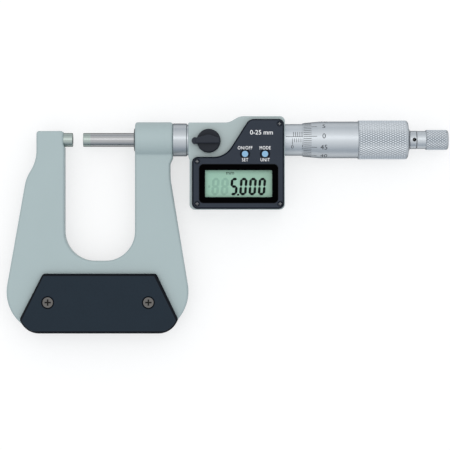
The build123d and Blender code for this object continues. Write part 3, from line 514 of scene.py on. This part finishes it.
def plate_bands(finish):
    """Paints shade on the plates' bevels, along their edges and in a ring round each screw."""
    lowest = low("front_insulating_plate")
    highest = high("front_insulating_plate")
    top = Vector((middle("front_insulating_plate").x, highest.y, 0))
    band = 1.1 * MM
    half_top = 26.75 * MM
    side_turn = math.radians(26.4)
    side = half_top * math.cos(side_turn)
    head_radius = 2.45 * MM
    ring_radius = head_radius + 0.6 * MM
    inwards = Vector((head_radius, head_radius, 0))
    screws = [low("front_plate_screws") + inwards, high("front_plate_screws") - inwards]

    # Painted shade on the bevels, in stripes along the edges and in a ring round each screw
    def bands(shader):
        x, y, z = shader.axes_about(top)
        across = abs(x) * math.cos(side_turn) + y * math.sin(side_turn)
        return shader.either(
            abs(z) < highest.z - BEVEL_EDGE,
            shader.within(screws, ring_radius),
            y > -band,
            y < lowest.y - highest.y + band,
            across > side - band,
        )

    return [(bands, shade(finish.edge, 0.5))]


# Modelling


def begin(*pieces):
    """Selects some pieces, or none, with the first one active."""
    if bpy.context.object and bpy.context.object.mode != "OBJECT":
        bpy.ops.object.mode_set(mode="OBJECT")
    bpy.ops.object.select_all(action="DESELECT")
    for piece in pieces:
        piece.select_set(True)
    if pieces:
        bpy.context.view_layer.objects.active = pieces[0]


def new(operator, **values):
    """The piece that an operator adds, alone in the selection."""
    begin()
    operator(**values)
    return bpy.context.object


def edit(action="SELECT"):
    """Goes into edit mode, with all or nothing selected."""
    bpy.ops.object.mode_set(mode="EDIT")
    bpy.ops.mesh.select_all(action=action)


def leave():
    """Leaves edit mode."""
    bpy.ops.object.mode_set(mode="OBJECT")


def settle():
    """Applies the place, turn and size of what is selected to its mesh."""
    bpy.ops.object.transform_apply(location=True, rotation=True, scale=True)


def merge(distance):
    """Merges the doubles of the active piece."""
    edit()
    bpy.ops.mesh.remove_doubles(threshold=distance)
    leave()


def done(piece, name, material, body):
    """Names, applies, shades and files a finished piece."""
    begin(piece)
    settle()
    bpy.ops.object.shade_smooth_by_angle(angle=math.radians(35.0))
    piece.name = name
    piece.data.name = name
    piece.data.materials.clear()
    piece.data.materials.append(material)
    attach(piece, body)


def turned(rings, sides):
    """Turns a closed profile of x and radius about the x axis, as one shell."""
    first_x, first_radius = rings[0]
    piece = new(
        bpy.ops.mesh.primitive_circle_add,
        vertices=sides,
        radius=first_radius,
        location=(first_x, 0, 0),
        rotation=(0, math.pi / 2, 0),
    )
    settle()
    edit()
    for (x0, radius0), (x1, radius1) in zip(rings, [*rings[1:], rings[0]]):
        bpy.ops.mesh.extrude_edges_move(TRANSFORM_OT_translate={"value": (x1 - x0, 0, 0)})
        bpy.ops.transform.resize(
            value=(1, radius1 / radius0, radius1 / radius0), center_override=(x1, 0, 0)
        )
    bpy.ops.mesh.select_all(action="SELECT")
    bpy.ops.mesh.remove_doubles(threshold=0.0005 * MM)
    bpy.ops.mesh.normals_make_consistent(inside=False)
    leave()
    return piece


def arc(centre_x, centre_radius, size, start, end, steps=6):
    """Points of a rounded corner in a profile, by angles from the x axis."""
    turns = [math.radians(start + (end - start) * i / steps) for i in range(steps + 1)]
    return [
        (centre_x + size * math.cos(turn), centre_radius + size * math.sin(turn)) for turn in turns
    ]


def apply_to(piece, kind, **values):
    """Adds a modifier with its values and applies it."""
    begin(piece)
    bpy.ops.object.modifier_add(type=kind)
    modifier = piece.modifiers[-1]
    for key, value in values.items():
        setattr(modifier, key, value)
    bpy.ops.object.modifier_apply(modifier=modifier.name)


def thicken(piece, thickness):
    """Gives a flat piece its thickness, on its upper side."""
    apply_to(piece, "SOLIDIFY", thickness=thickness, offset=1.0)


def set_down(piece, place=(0, 0, 0), turn=0.0):
    """Moves a piece and turns it about the x axis, in its mesh."""
    begin(piece)
    piece.location = place
    piece.rotation_euler = (turn, 0, 0)
    settle()


def wrap(piece, radius, turn=0.0):
    """Rolls a flat piece round the x axis, its y along the circumference, its middle on top."""
    set_down(piece, turn=math.pi / 2)
    apply_to(
        piece, "SIMPLE_DEFORM",
        deform_method="BEND", deform_axis="X", angle=piece.dimensions.z / radius,
    )
    set_down(piece, (0, -radius, 0))
    set_down(piece, turn=-math.pi / 2 - turn)


def round_off(piece, centre_x, centre_radius, size):
    """Lowers what stands over the rounding at the end of a turned piece."""
    for vertex in piece.data.vertices:
        beyond = max(0.0, vertex.co.x - centre_x)
        radius = math.hypot(vertex.co.y, vertex.co.z)
        reach = centre_radius + math.sqrt(max(0.0, size * size - beyond * beyond))
        if radius > reach:
            vertex.co.y *= reach / radius
            vertex.co.z *= reach / radius


def join(pieces):
    """Joins pieces into the first one."""
    begin(*pieces)
    bpy.ops.object.join()
    return pieces[0]


def mark(start, end, width, rise=0.0):
    """A thin line along the x axis, given its two ends and how far it climbs."""
    piece = new(bpy.ops.mesh.primitive_plane_add, size=1.0)
    piece.scale = (math.hypot(end - start, rise), width, 1.0)
    piece.rotation_euler = (0, -math.atan2(rise, end - start), 0)
    piece.location = ((start + end) / 2, 0, rise / 2)
    settle()
    return piece


def lettering(words, size, place, narrowness=1.0, weight=0.0):
    """Words as a flat mesh, centred on a place."""
    text = new(bpy.ops.object.text_add, location=place)
    text.data.body = words
    text.data.size = size
    text.data.align_x = "CENTER"
    text.data.align_y = "CENTER"
    text.data.resolution_u = 4
    text.data.offset = weight
    text.data.space_character = 1.0 / narrowness ** 0.5
    text.scale.x = narrowness
    bpy.ops.object.convert(target="MESH")
    settle()
    merge(0.0001 * MM)
    return bpy.context.object


def divide(piece, cuts):
    """Cuts the faces of a flat piece smaller, so that it can be rolled."""
    begin(piece)
    edit()
    bpy.ops.mesh.quads_convert_to_tris()
    bpy.ops.mesh.subdivide(number_cuts=cuts)
    leave()
    return piece


class Grip:
    """A knurled grip about the x axis, rounded at its end."""

    def __init__(self, context, start, end, radius, rounding):
        self.finish = context.scene.micrometer_finish
        self.knurls = context.scene.micrometer_knurl
        self.start = start
        self.radius = radius
        self.rounding = rounding
        self.centre_x = end - rounding
        self.centre_radius = radius - rounding

        # The band stops where the rounding comes down to the bottom of its grooves
        slack = 0.5
        self.dip = math.degrees(math.asin(1 - self.knurls.depth / rounding)) - slack
        clearance = 0.02 * MM
        self.band_end = self.centre_x + rounding * math.cos(math.radians(self.dip)) - clearance

    def profile(self):
        """The turned body under the diamonds, up to the end of the rounding."""
        clearance = 0.01 * MM
        valley = self.radius - self.knurls.depth - clearance
        return [
            (self.start, valley),
            (self.band_end, valley),
            *arc(self.centre_x, self.centre_radius, self.rounding, self.dip, 0.0, steps=8),
        ]

    def knurl(self, diamond_length, diamond_width):
        """The band of diamonds, whose crests reach the grip's radius."""
        base = self.radius - self.knurls.depth
        size_x = self.band_end - self.start
        size_y = TURN * base
        band = new(
            bpy.ops.mesh.primitive_grid_add,
            x_subdivisions=round(size_x / diamond_length),
            y_subdivisions=round(size_y / diamond_width),
            size=1.0,
            location=((self.start + self.band_end) / 2, 0, 0),
        )
        band.scale = (size_x, size_y, 1.0)
        settle()
        edit()
        bpy.ops.mesh.poke()
        bpy.ops.mesh.select_all(action="DESELECT")
        bpy.ops.mesh.select_mode(type="EDGE")
        leave()
        self.pick_straight_edges(band.data, size_y / 2)
        bpy.ops.object.mode_set(mode="EDIT")
        bpy.ops.mesh.dissolve_edges(use_verts=False)
        bpy.ops.mesh.select_mode(type="FACE")
        bpy.ops.mesh.select_all(action="SELECT")
        bpy.ops.mesh.inset(
            thickness=self.knurls.groove, depth=self.knurls.depth, use_individual=True
        )
        leave()
        wrap(band, base)
        merge(0.005 * MM)
        round_off(band, self.centre_x, self.centre_radius, self.rounding)
        return band

    def pick_straight_edges(self, mesh, half_height):
        """Selects the edges along x or y inside the band, which leaves only the diamonds' own."""
        near = 0.001 * MM
        for edge in mesh.edges:
            first, second = (mesh.vertices[v].co for v in edge.vertices)
            outer = all(
                min(co.x - self.start, self.band_end - co.x, half_height - abs(co.y)) < near
                for co in (first, second)
            )
            step = second - first
            edge.select = min(abs(step.x), abs(step.y)) < near and not outer

    def chrome(self, name):
        """Satin chrome, lighter over the knurled band as a painted highlight on the crests, with
        painted shade in the grooves.
        """
        darkest = 0.5

        def band(shader):
            x = shader.axes_about()[0]
            return (x > self.start) * (x < self.centre_x)

        # Painted shade in the grooves, darker the deeper the surface lies under the crests
        def grooves(shader):
            radius = shader.node(
                "ShaderNodeVectorMath",
                {"operation": "LENGTH"},
                {0: shader.place(stretch=(0.0, 1.0, 1.0))},
                output="Value",
            )
            groove_shade = (self.radius - radius) * (darkest / self.knurls.depth)
            return band(shader) * shader.math("MINIMUM", groove_shade, darkest)

        # The lighter band is a painted highlight on the crests
        chrome = self.finish.chrome
        layers = [(band, shade(chrome, 1.35)), (grooves, self.finish.groove)]
        return turned_metal(name, chrome, roughness=0.4, layers=layers)


# Operators


class MICROMETER_OT_paint(bpy.types.Operator):
    """Enamels the frame and the housing"""

    bl_idname = "micrometer.paint"
    bl_label = "Paint frame and housing"

    def execute(self, context):
        finish = context.scene.micrometer_finish
        dress(enamel("grey enamel", finish.paint), "frame")
        dress(enamel("housing enamel", finish.housing), "housing")
        return {"FINISHED"}


class MICROMETER_OT_metal(bpy.types.Operator):
    """Finishes the ground, plated and turned metal pieces"""

    bl_idname = "micrometer.metal"
    bl_label = "Finish metal pieces"

    def execute(self, context):
        finish = context.scene.micrometer_finish
        for name, base, lightness, roughness, relief, nodes in (
            (
                "ground steel", finish.steel, 0.86, 0.15, 0.03,
                ("spindle", "inner_sleeve", "adjusting_nut", "lock_screw"),
            ),
            ("anvil steel", finish.carbide, 1.0, 0.24, 0.03, ("anvil",)),
            ("lapped carbide", finish.carbide, 1.0, 0.24, 0.05, ("anvil_tip", "spindle_tip")),
            ("turned steel", finish.chrome, 0.88, 0.32, 0.12, ("guide_sleeve",)),
            ("satin chrome", finish.chrome, 1.05, 0.4, 0.12, ("graduated_sleeve",)),
        ):
            dress(turned_metal(name, shade(base, lightness), roughness, relief), *nodes)
        ratchet = shade(finish.chrome, 0.95)
        dress(
            turned_metal("ratchet steel", ratchet, roughness=0.34, layers=ratchet_hole(finish)),
            "ratchet_body", "ratchet_clutch",
        )

        # Painted shade in the plate screws' recesses; painted glints in the cover screws' recesses,
        # lighter than their dark heads
        plate_recess_shade = recesses("front_plate_screws", finish.recess)
        cover_recess_glints = recesses("cover_screws", shade(finish.steel, 0.4))
        for name, base, roughness, layers, nodes in (
            (
                "plate screws", finish.screw, 0.42, plate_recess_shade,
                ("front_plate_screws", "rear_plate_screws"),
            ),
            ("cover screws", shade(finish.cover, 0.6), 0.35, cover_recess_glints, ("cover_screws",)),
            ("set screw", finish.screw, 0.42, (), ("sleeve_set_screw",)),
            (
                "bright steel", finish.steel, 0.3, (),
                ("battery", "ratchet_spring", "ratchet_retaining_screw", "rotor_key"),
            ),
            (
                "worn brass", finish.brass, 0.36, (),
                ("lock_bush", "lock_shoe", "rotor_bearing", "battery_contacts"),
            ),
        ):
            dress(plain_metal(name, base, roughness, layers), *nodes)
        return {"FINISHED"}


class MICROMETER_OT_mouldings(bpy.types.Operator):
    """Finishes the plastic and rubber pieces"""

    bl_idname = "micrometer.mouldings"
    bl_label = "Finish mouldings"

    def execute(self, context):
        finish = context.scene.micrometer_finish
        buttons = [middle("power_button"), middle("unit_button")]
        disc_radius = 1.46 * MM
        # A painted highlight on the lever's grip, lighter above a height
        grip_highlight_start = high("lock_lever").z - 1.5 * MM
        grip = (lambda shader: shader.axes_about()[2] > grip_highlight_start, shade(finish.lever, 1.45))
        # Painted shade on the buttons outside a disc on their tops
        button_rim_shade = (lambda shader: 1.0 - shader.within(buttons, disc_radius), finish.edge)
        dress(
            moulded(
                "moulded cover", finish.cover, roughness=0.42, relief=0.2,
                layers=cover_bands(finish, buttons), gloss=0.1, grains_per_metre=2200.0,
            ),
            "front_cover",
        )
        dress(moulded("battery cap", finish.cover, roughness=0.45), "battery_cap")
        dress(
            moulded(
                "insulating plate", finish.plate, roughness=0.38, relief=0.3,
                layers=plate_bands(finish), gloss=0.1, grains_per_metre=1500.0,
            ),
            "front_insulating_plate", "rear_insulating_plate",
        )
        dress(
            moulded(
                "lock lever", finish.lever, roughness=0.5, relief=0.3,
                layers=[grip], gloss=0.15,
            ),
            "lock_lever",
        )
        dress(
            moulded(
                "push button", finish.button, roughness=0.28, relief=0.05,
                layers=[button_rim_shade], gloss=0.3,
            ),
            "power_button", "unit_button",
        )
        dress(
            moulded("black rubber", finish.rubber, roughness=0.7),
            "wiper_seal", "housing_gasket", "lcd_contact_strips", "button_pad", "battery_cap_seal",
        )
        dress(
            moulded("board laminate", finish.board, roughness=0.45, relief=0.1),
            "circuit_board", "encoder_rotor", "encoder_stator",
        )
        return {"FINISHED"}


class MICROMETER_OT_thimble(bpy.types.Operator):
    """Turns the thimble with its knurled grip"""

    bl_idname = "micrometer.thimble"
    bl_label = "Thimble"

    def execute(self, context):
        knurls = context.scene.micrometer_knurl
        start = low("thimble").x
        end = high("thimble").x
        grip_radius = high("thimble").z
        shoulder = end - 24.4 * MM
        hub = end - 0.7 * MM
        grip = Grip(context, shoulder, hub, grip_radius, rounding=1.6 * MM)

        barrel = grip_radius - BARREL_STEP
        bore = 7.65 * MM
        edge_thickness = 0.25 * MM
        bevel_length = 8.12 * MM
        bevel_round = 3.95 * MM
        shoulder_bevel = 0.12 * MM
        hub_radius = 6.2 * MM
        neck = 4.9 * MM
        seat = 4.35 * MM
        seat_end = end - 1.6 * MM
        spindle_bore = 2.9 * MM
        cone_start = end - 5.3 * MM
        cone_small = 3.87 * MM
        cone_end = end - 12.8 * MM
        cone_large = 4.62 * MM
        body = turned(
            [
                (start, bore),
                (start, bore + edge_thickness),
                *arc(start + bevel_length, barrel - bevel_round, bevel_round, start=95.8, end=90.0),
                (shoulder - shoulder_bevel, barrel),
                (shoulder, barrel - shoulder_bevel),
                *grip.profile(),
                (hub, hub_radius),
                (end, neck),
                (end, seat),
                (seat_end, seat),
                (seat_end, spindle_bore),
                (cone_start, spindle_bore),
                (cone_start, cone_small),
                (cone_end, cone_large),
                (cone_end, bore),
            ],
            sides=128,
        )
        thimble = join([body, grip.knurl(knurls.grip_length, knurls.grip_width)])
        chrome = grip.chrome("thimble chrome")
        done(thimble, "thimble_dressed", chrome, "spindle")
        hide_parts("thimble")
        return {"FINISHED"}


class MICROMETER_OT_knob(bpy.types.Operator):
    """Turns the ratchet knob with its knurl"""

    bl_idname = "micrometer.knob"
    bl_label = "Ratchet knob"

    def execute(self, context):
        knurls = context.scene.micrometer_knurl
        start = low("ratchet_knob").x
        end = high("ratchet_knob").x
        shoulder = start + 4.2 * MM
        grip = Grip(context, shoulder, end, high("ratchet_knob").z, rounding=1.3 * MM)

        neck = 4.25 * MM
        clutch_bore = 3.4 * MM
        clutch_end = start + 1.95 * MM
        screw_bore = 1.53 * MM
        recess = 2.7 * MM
        recess_start = end - 2.2 * MM
        body = turned(
            [
                (start, clutch_bore),
                (start, neck),
                (shoulder, neck),
                *grip.profile(),
                (end, recess),
                (recess_start, recess),
                (recess_start, screw_bore),
                (clutch_end, screw_bore),
                (clutch_end, clutch_bore),
            ],
            sides=96,
        )
        knob = join([body, grip.knurl(knurls.knob_length, knurls.knob_width)])
        chrome = grip.chrome("knob chrome")
        done(knob, "ratchet_knob_dressed", chrome, "ratchet_knob")
        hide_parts("ratchet_knob")
        return {"FINISHED"}


class MICROMETER_OT_sleeve_scale(bpy.types.Operator):
    """Engraves the millimetres and half millimetres on the sleeve"""

    bl_idname = "micrometer.sleeve_scale"
    bl_label = "Sleeve scale"

    def execute(self, context):
        scale = context.scene.micrometer_scale
        reading = 5.0 * MM
        zero = low("thimble").x - reading
        width = scale.line_width
        below = -0.8 * MM
        above = 0.1 * MM
        half = 0.5 * MM
        line_start = low("graduated_sleeve").x + 0.4 * MM
        line_end = zero + 25.2 * MM

        pieces = [mark(line_start, line_end, width)]
        for first, step, count, start, stroke in (
            (zero, 1.0 * MM, 26, below, -scale.sleeve_mark),
            (zero, 5.0 * MM, 6, below, -scale.sleeve_fifth),
            (zero + half, 1.0 * MM, 25, above, scale.half_mark),
        ):
            tick = mark(-width / 2, width / 2, abs(stroke))
            set_down(tick, (first, start + stroke / 2, 0))
            apply_to(
                divide(tick, cuts=3), "ARRAY",
                count=count, use_relative_offset=False, use_constant_offset=True,
                constant_offset_displace=(step, 0, 0),
            )
            pieces.append(tick)
        number_gap = 1.2 * MM
        number_y = below - scale.sleeve_fifth - number_gap
        for number in range(0, 26, 5):
            place = (zero + number * MM, number_y, 0)
            words = lettering(str(number), scale.sleeve_number_size, place)
            pieces.append(divide(words, cuts=2))
        sheet = join(pieces)
        thicken(sheet, scale.ink)
        wrap(sheet, high("graduated_sleeve").z, scale.turn)
        engraving = context.scene.micrometer_finish.engraving
        done(sheet, "sleeve_scale", ink("scale ink", engraving), "frame")
        return {"FINISHED"}


class MICROMETER_OT_thimble_scale(bpy.types.Operator):
    """Engraves the fifty divisions and their numbers on the thimble"""

    bl_idname = "micrometer.thimble_scale"
    bl_label = "Thimble scale"

    def execute(self, context):
        scale = context.scene.micrometer_scale
        start = low("thimble").x
        first = start + 0.3 * MM
        barrel = high("thimble").z - BARREL_STEP
        bevel_radius = 7.9 * MM
        bevel_length = 7.9 * MM
        slope = (barrel - bevel_radius) / bevel_length
        step = TURN / scale.divisions
        fifths = range(0, scale.divisions, 5)

        pieces = []
        for stroke, turns in (
            (scale.short_mark, [i for i in range(scale.divisions) if i not in fifths]),
            (scale.long_mark, fifths),
        ):
            end = start + stroke
            pattern = mark(first, end, scale.line_width, rise=slope * (end - first))
            set_down(pattern, (0, 0, bevel_radius + slope * (first - start)))
            thicken(pattern, scale.ink)
            for i in turns:
                copy = pattern.copy()
                copy.data = pattern.data.copy()
                bpy.context.collection.objects.link(copy)
                set_down(copy, turn=-scale.turn + i * step)
                pieces.append(copy)
            bpy.data.objects.remove(pattern)
        for number in fifths:
            place = (start + scale.number_place, 0, 0)
            words = divide(lettering(str(number), scale.number_size, place), cuts=2)
            thicken(words, scale.ink)
            wrap(words, barrel, scale.turn + number * step)
            pieces.append(words)
        engraving = context.scene.micrometer_finish.engraving
        done(join(pieces), "thimble_scale", ink("thimble ink", engraving), "spindle")
        return {"FINISHED"}


class MICROMETER_OT_display(bpy.types.Operator):
    """Finishes the window and the film, and lays the digits"""

    bl_idname = "micrometer.display"
    bl_label = "Display"

    def execute(self, context):
        finish = context.scene.micrometer_finish
        display = context.scene.micrometer_display
        self.window(finish, display)
        self.film(finish)

        middle_y = -22.32 * MM
        right = high("display_window").x - display.digit_inset
        digits = self.number(display, "0005", right, middle_y)
        point_x = right - 2.5 * display.digit_pitch
        digits.append(self.point(display, point_x, middle_y - display.digit_height / 2))
        unit_place = (74.65 * MM, -15.9 * MM, 0)
        words = lettering("mm", display.unit_size, unit_place)
        black = ink("display ink", finish.digit, roughness=0.4)
        self.lay(digits, display, middle_y, "display_digits", black, words)

        ghosts = self.number(display, "88", right - 4 * display.digit_pitch, middle_y)
        sign = self.segment(display, "g")
        sign_x = 64.8 * MM
        sign.location = (sign_x, middle_y, 0)
        sign.scale.y = 0.5
        ghosts.append(sign)
        faint = ink("unlit segments", shade(finish.glass, 0.78), roughness=0.4)
        self.lay(ghosts, display, middle_y, "display_ghosts", faint)
        return {"FINISHED"}

    def number(self, display, digits, right, middle_y):
        """Digits of seven segments, from right to left."""
        pieces = []
        for place, digit in enumerate(digits):
            for name in SEGMENTS[digit]:
                piece = self.segment(display, name)
                piece.location.x += right - place * display.digit_pitch
                piece.location.y += middle_y
                pieces.append(piece)
        return pieces

    def point(self, display, x, base_y):
        """The decimal point, a square at the foot of the digits."""
        half_diagonal = display.stroke * 0.45
        height = display.stroke * 0.3
        return new(
            bpy.ops.mesh.primitive_circle_add,
            vertices=4,
            radius=half_diagonal,
            fill_type="NGON",
            location=(x, base_y + height, 0),
            rotation=(0, 0, math.pi / 4),
        )

    def segment(self, display, name):
        """One segment of a digit, at its place round the digit's middle."""
        half_stroke = display.stroke / 2
        half_width = display.digit_width / 2 - half_stroke
        half_height = display.digit_height / 2 - half_stroke
        gap = 0.03 * MM
        near = 0.01 * MM
        upright = name in "bcef"
        reach = (half_height / 2 if upright else half_width) - gap

        # A hexagon whose ends are made square points and pulled apart
        tip = half_stroke * (0.5 + math.sqrt(0.75))
        hexagon = {"vertices": 6, "radius": half_stroke, "fill_type": "NGON"}
        piece = new(bpy.ops.mesh.primitive_circle_add, **hexagon)
        for side in (1, -1):
            edit("DESELECT")
            bpy.ops.mesh.select_mode(type="VERT")
            leave()
            for vertex in piece.data.vertices:
                vertex.select = vertex.co.y * side > near
                if vertex.select and abs(vertex.co.x) < near:
                    vertex.co.y = side * tip
            bpy.ops.object.mode_set(mode="EDIT")
            bpy.ops.transform.translate(value=(0, side * (reach - tip), 0))
            leave()
        if not upright:
            piece.rotation_euler = (0, 0, math.pi / 2)
        level = SEGMENT_LEVELS[name] * half_height / 2
        piece.location = (SEGMENT_SIDES.get(name, 0) * half_width, level, 0)
        return piece

    def lay(self, pieces, display, middle_y, name, material, words=None):
        """Slants the segments and lays them on the film."""
        for piece in pieces:
            begin(piece)
            settle()
        sheet = join(pieces)
        lean = math.tan(display.slant)
        for vertex in sheet.data.vertices:
            vertex.co.x += lean * (vertex.co.y - middle_y)
        if words:
            sheet = join([sheet, words])
        set_down(sheet, (0, 0, high("lcd_panel").z))
        thicken(sheet, PRINT)
        done(sheet, name, material, "frame")

    def window(self, finish, display):
        """Clear window, printed black round the view."""
        shader = Finish("display window")
        x, y, _ = shader.axes_about(middle("display_window"))
        size = high("display_window") - low("display_window")
        border = shader.either(
            abs(x) > size.x / 2 - display.view_inset,
            abs(y) > size.y / 2 - display.view_inset,
        )
        smears = shader.noise(140.0)
        clear = (0.0002, 0.0002, 0.0003)
        dress(
            shader.principled(
                Base_Color=shader.blend(smears, clear, finish.border),
                Roughness=shader.span(smears, 0.1, 0.16),
                Specular_IOR_Level=0.01,
                Alpha=shader.span(border, 0.03, 1.0),
            ),
            "display_window",
        )

    def film(self, finish):
        """Grey-green film behind the digits, greener at the left."""
        shader = Finish("display film")
        x = shader.axes_about(middle("lcd_panel"))[0]
        grains = shader.noise(5000.0, detail=2.0)
        shift_per_metre = 28.0
        share = x * shift_per_metre + shader.span(grains, 0.4, 0.6)
        dress(
            shader.principled(
                Base_Color=shader.blend(share, finish.glass, finish.glass_end),
                Roughness=shader.span(grains, 0.4, 0.5),
                Specular_IOR_Level=0.2,
            ),
            "lcd_panel",
        )


class MICROMETER_OT_legends(bpy.types.Operator):
    """Prints the buttons' legends and the measuring range on the cover"""

    bl_idname = "micrometer.legends"
    bl_label = "Legends"

    def execute(self, context):
        display = context.scene.micrometer_display
        top = high("front_cover").z
        pieces = []
        for words, button, side in (
            ("ON/OFF", "power_button", 1),
            ("SET", "power_button", -1),
            ("MODE", "unit_button", 1),
            ("UNIT", "unit_button", -1),
        ):
            x, y, _ = middle(button)
            place = (x, y + side * display.legend_distance, top)
            pieces.append(
                lettering(words, display.legend_size, place, display.narrowness, display.weight)
            )
        range_place = (89.4 * MM, 3.0 * MM, top)
        pieces.append(lettering("0-25 mm", display.range_size, range_place, weight=display.weight))
        legends = join(pieces)
        thicken(legends, PRINT)
        white = ink("legend ink", context.scene.micrometer_finish.legend, roughness=0.5)
        done(legends, "cover_legends", white, "frame")
        return {"FINISHED"}


class MICROMETER_OT_stage(bpy.types.Operator):
    """Sets the floor, the lamp, the surroundings and the camera"""

    bl_idname = "micrometer.stage"
    bl_label = "Stage"

    def execute(self, context):
        scene = context.scene
        stage = scene.micrometer_stage
        scene.view_settings.view_transform = "Standard"
        self.floor()
        self.lamp(stage)
        self.surroundings(scene, stage)
        self.camera(scene, stage)
        return {"FINISHED"}

    def floor(self):
        """White table top that still shows the shadow."""
        gap = 0.05 * MM
        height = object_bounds()[0][2] - gap
        floor = new(bpy.ops.mesh.primitive_plane_add, size=12.0, location=(0.07, -0.04, height))
        floor.name = "floor"
        edit()
        bpy.ops.mesh.subdivide(number_cuts=3)
        leave()
        settle()
        finish = Finish("white floor")
        rays = ("Is Camera Ray", "Is Glossy Ray", "Is Transmission Ray")
        seen = finish.either(*finish.parts(finish.node("ShaderNodeLightPath"), rays))
        grains = finish.noise(300.0, detail=2.0)
        dark, light, black, glow = ((grey, grey, grey) for grey in (0.41, 0.43, 0.0, 0.61))
        floor.data.materials.append(
            finish.principled(
                Base_Color=finish.blend(grains, dark, light),
                Roughness=finish.span(grains, 0.8, 0.9),
                Specular_IOR_Level=0.0,
                Emission_Color=finish.blend(seen, black, glow),
                Emission_Strength=1.0,
            )
        )
        floor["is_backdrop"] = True

    def lamp(self, stage):
        """One broad lamp above the far side."""
        target = Vector((0.07, -0.02, 0.0))
        upwards = Vector((0.0, math.sin(stage.lean), math.cos(stage.lean)))
        away = upwards * stage.lamp_distance
        lamp = new(bpy.ops.object.light_add, type="AREA", location=target + away)
        lamp.name = "lamp"
        lamp.data.shape = "RECTANGLE"
        lamp.data.size = 1.0
        lamp.data.size_y = 0.3
        lamp.data.energy = stage.lamp
        lamp.rotation_euler = (-away).to_track_quat("-Z", "Y").to_euler()

    def surroundings(self, scene, stage):
        """A soft sky, brightest above the far side and cooler towards the rim."""
        finish = Finish("surroundings", "worlds")
        scene.world = finish.owner
        _, y, z = finish.axes_about()
        towards = y * math.sin(stage.lean) + z * math.cos(stage.lean)
        white = (1.0, 1.0, 1.0)
        rim, top = (
            finish.node(
                "ShaderNodeBackground", inputs={"Color": opaque(tint), "Strength": strength}
            )
            for tint, strength in ((stage.rim, stage.horizon), (white, stage.zenith))
        )
        glow = finish.math("MAXIMUM", towards, 0.0)
        sky = finish.node("ShaderNodeMixShader", inputs={0: glow, 1: rim, 2: top})
        finish.node("ShaderNodeOutputWorld", inputs={"Surface": sky})

    def camera(self, scene, stage):
        """A camera straight above, as in the photograph."""
        place = (stage.centre_x, stage.centre_y, stage.distance)
        camera = new(bpy.ops.object.camera_add, location=place, rotation=(0, 0, 0))
        camera.data.sensor_width = 36.0
        camera.data.lens = camera.data.sensor_width * stage.distance / stage.view_width
        camera.data.clip_start = 0.01
        camera.data.clip_end = 20.0
        scene.camera = camera


STEPS = (
    MICROMETER_OT_paint,
    MICROMETER_OT_metal,
    MICROMETER_OT_mouldings,
    MICROMETER_OT_thimble,
    MICROMETER_OT_knob,
    MICROMETER_OT_sleeve_scale,
    MICROMETER_OT_thimble_scale,
    MICROMETER_OT_display,
    MICROMETER_OT_legends,
    MICROMETER_OT_stage,
)

GROUPS = {
    "micrometer_finish": FinishSettings,
    "micrometer_knurl": KnurlSettings,
    "micrometer_scale": ScaleSettings,
    "micrometer_display": DisplaySettings,
    "micrometer_stage": StageSettings,
}


class MICROMETER_PT_panel(bpy.types.Panel):
    """Steps that dress the micrometer, and their settings"""

    bl_idname = "MICROMETER_PT_panel"
    bl_label = "Micrometer"
    bl_space_type = "VIEW_3D"
    bl_region_type = "UI"
    bl_category = "Micrometer"

    def draw(self, context):
        layout = self.layout
        for step in STEPS:
            layout.operator(step.bl_idname)
        for group_name in GROUPS:
            group = getattr(context.scene, group_name)
            box = layout.box()
            for name in group.bl_rna.properties.keys():
                if name not in ("rna_type", "name"):
                    box.prop(group, name)


def register():
    """Registers the settings, the steps and the panel."""
    for name, group in GROUPS.items():
        bpy.utils.register_class(group)
        setattr(bpy.types.Scene, name, PointerProperty(type=group))
    for step in (*STEPS, MICROMETER_PT_panel):
        bpy.utils.register_class(step)


def unregister():
    """Takes the panel, the steps and the settings out again."""
    for step in reversed((*STEPS, MICROMETER_PT_panel)):
        bpy.utils.unregister_class(step)
    for name, group in reversed(GROUPS.items()):
        delattr(bpy.types.Scene, name)
        bpy.utils.unregister_class(group)


def main():
    """Dresses the model."""
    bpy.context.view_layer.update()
    register()
    for step in STEPS:
        group, name = step.bl_idname.split(".")
        getattr(getattr(bpy.ops, group), name)()


if __name__ == "__main__":
    main()
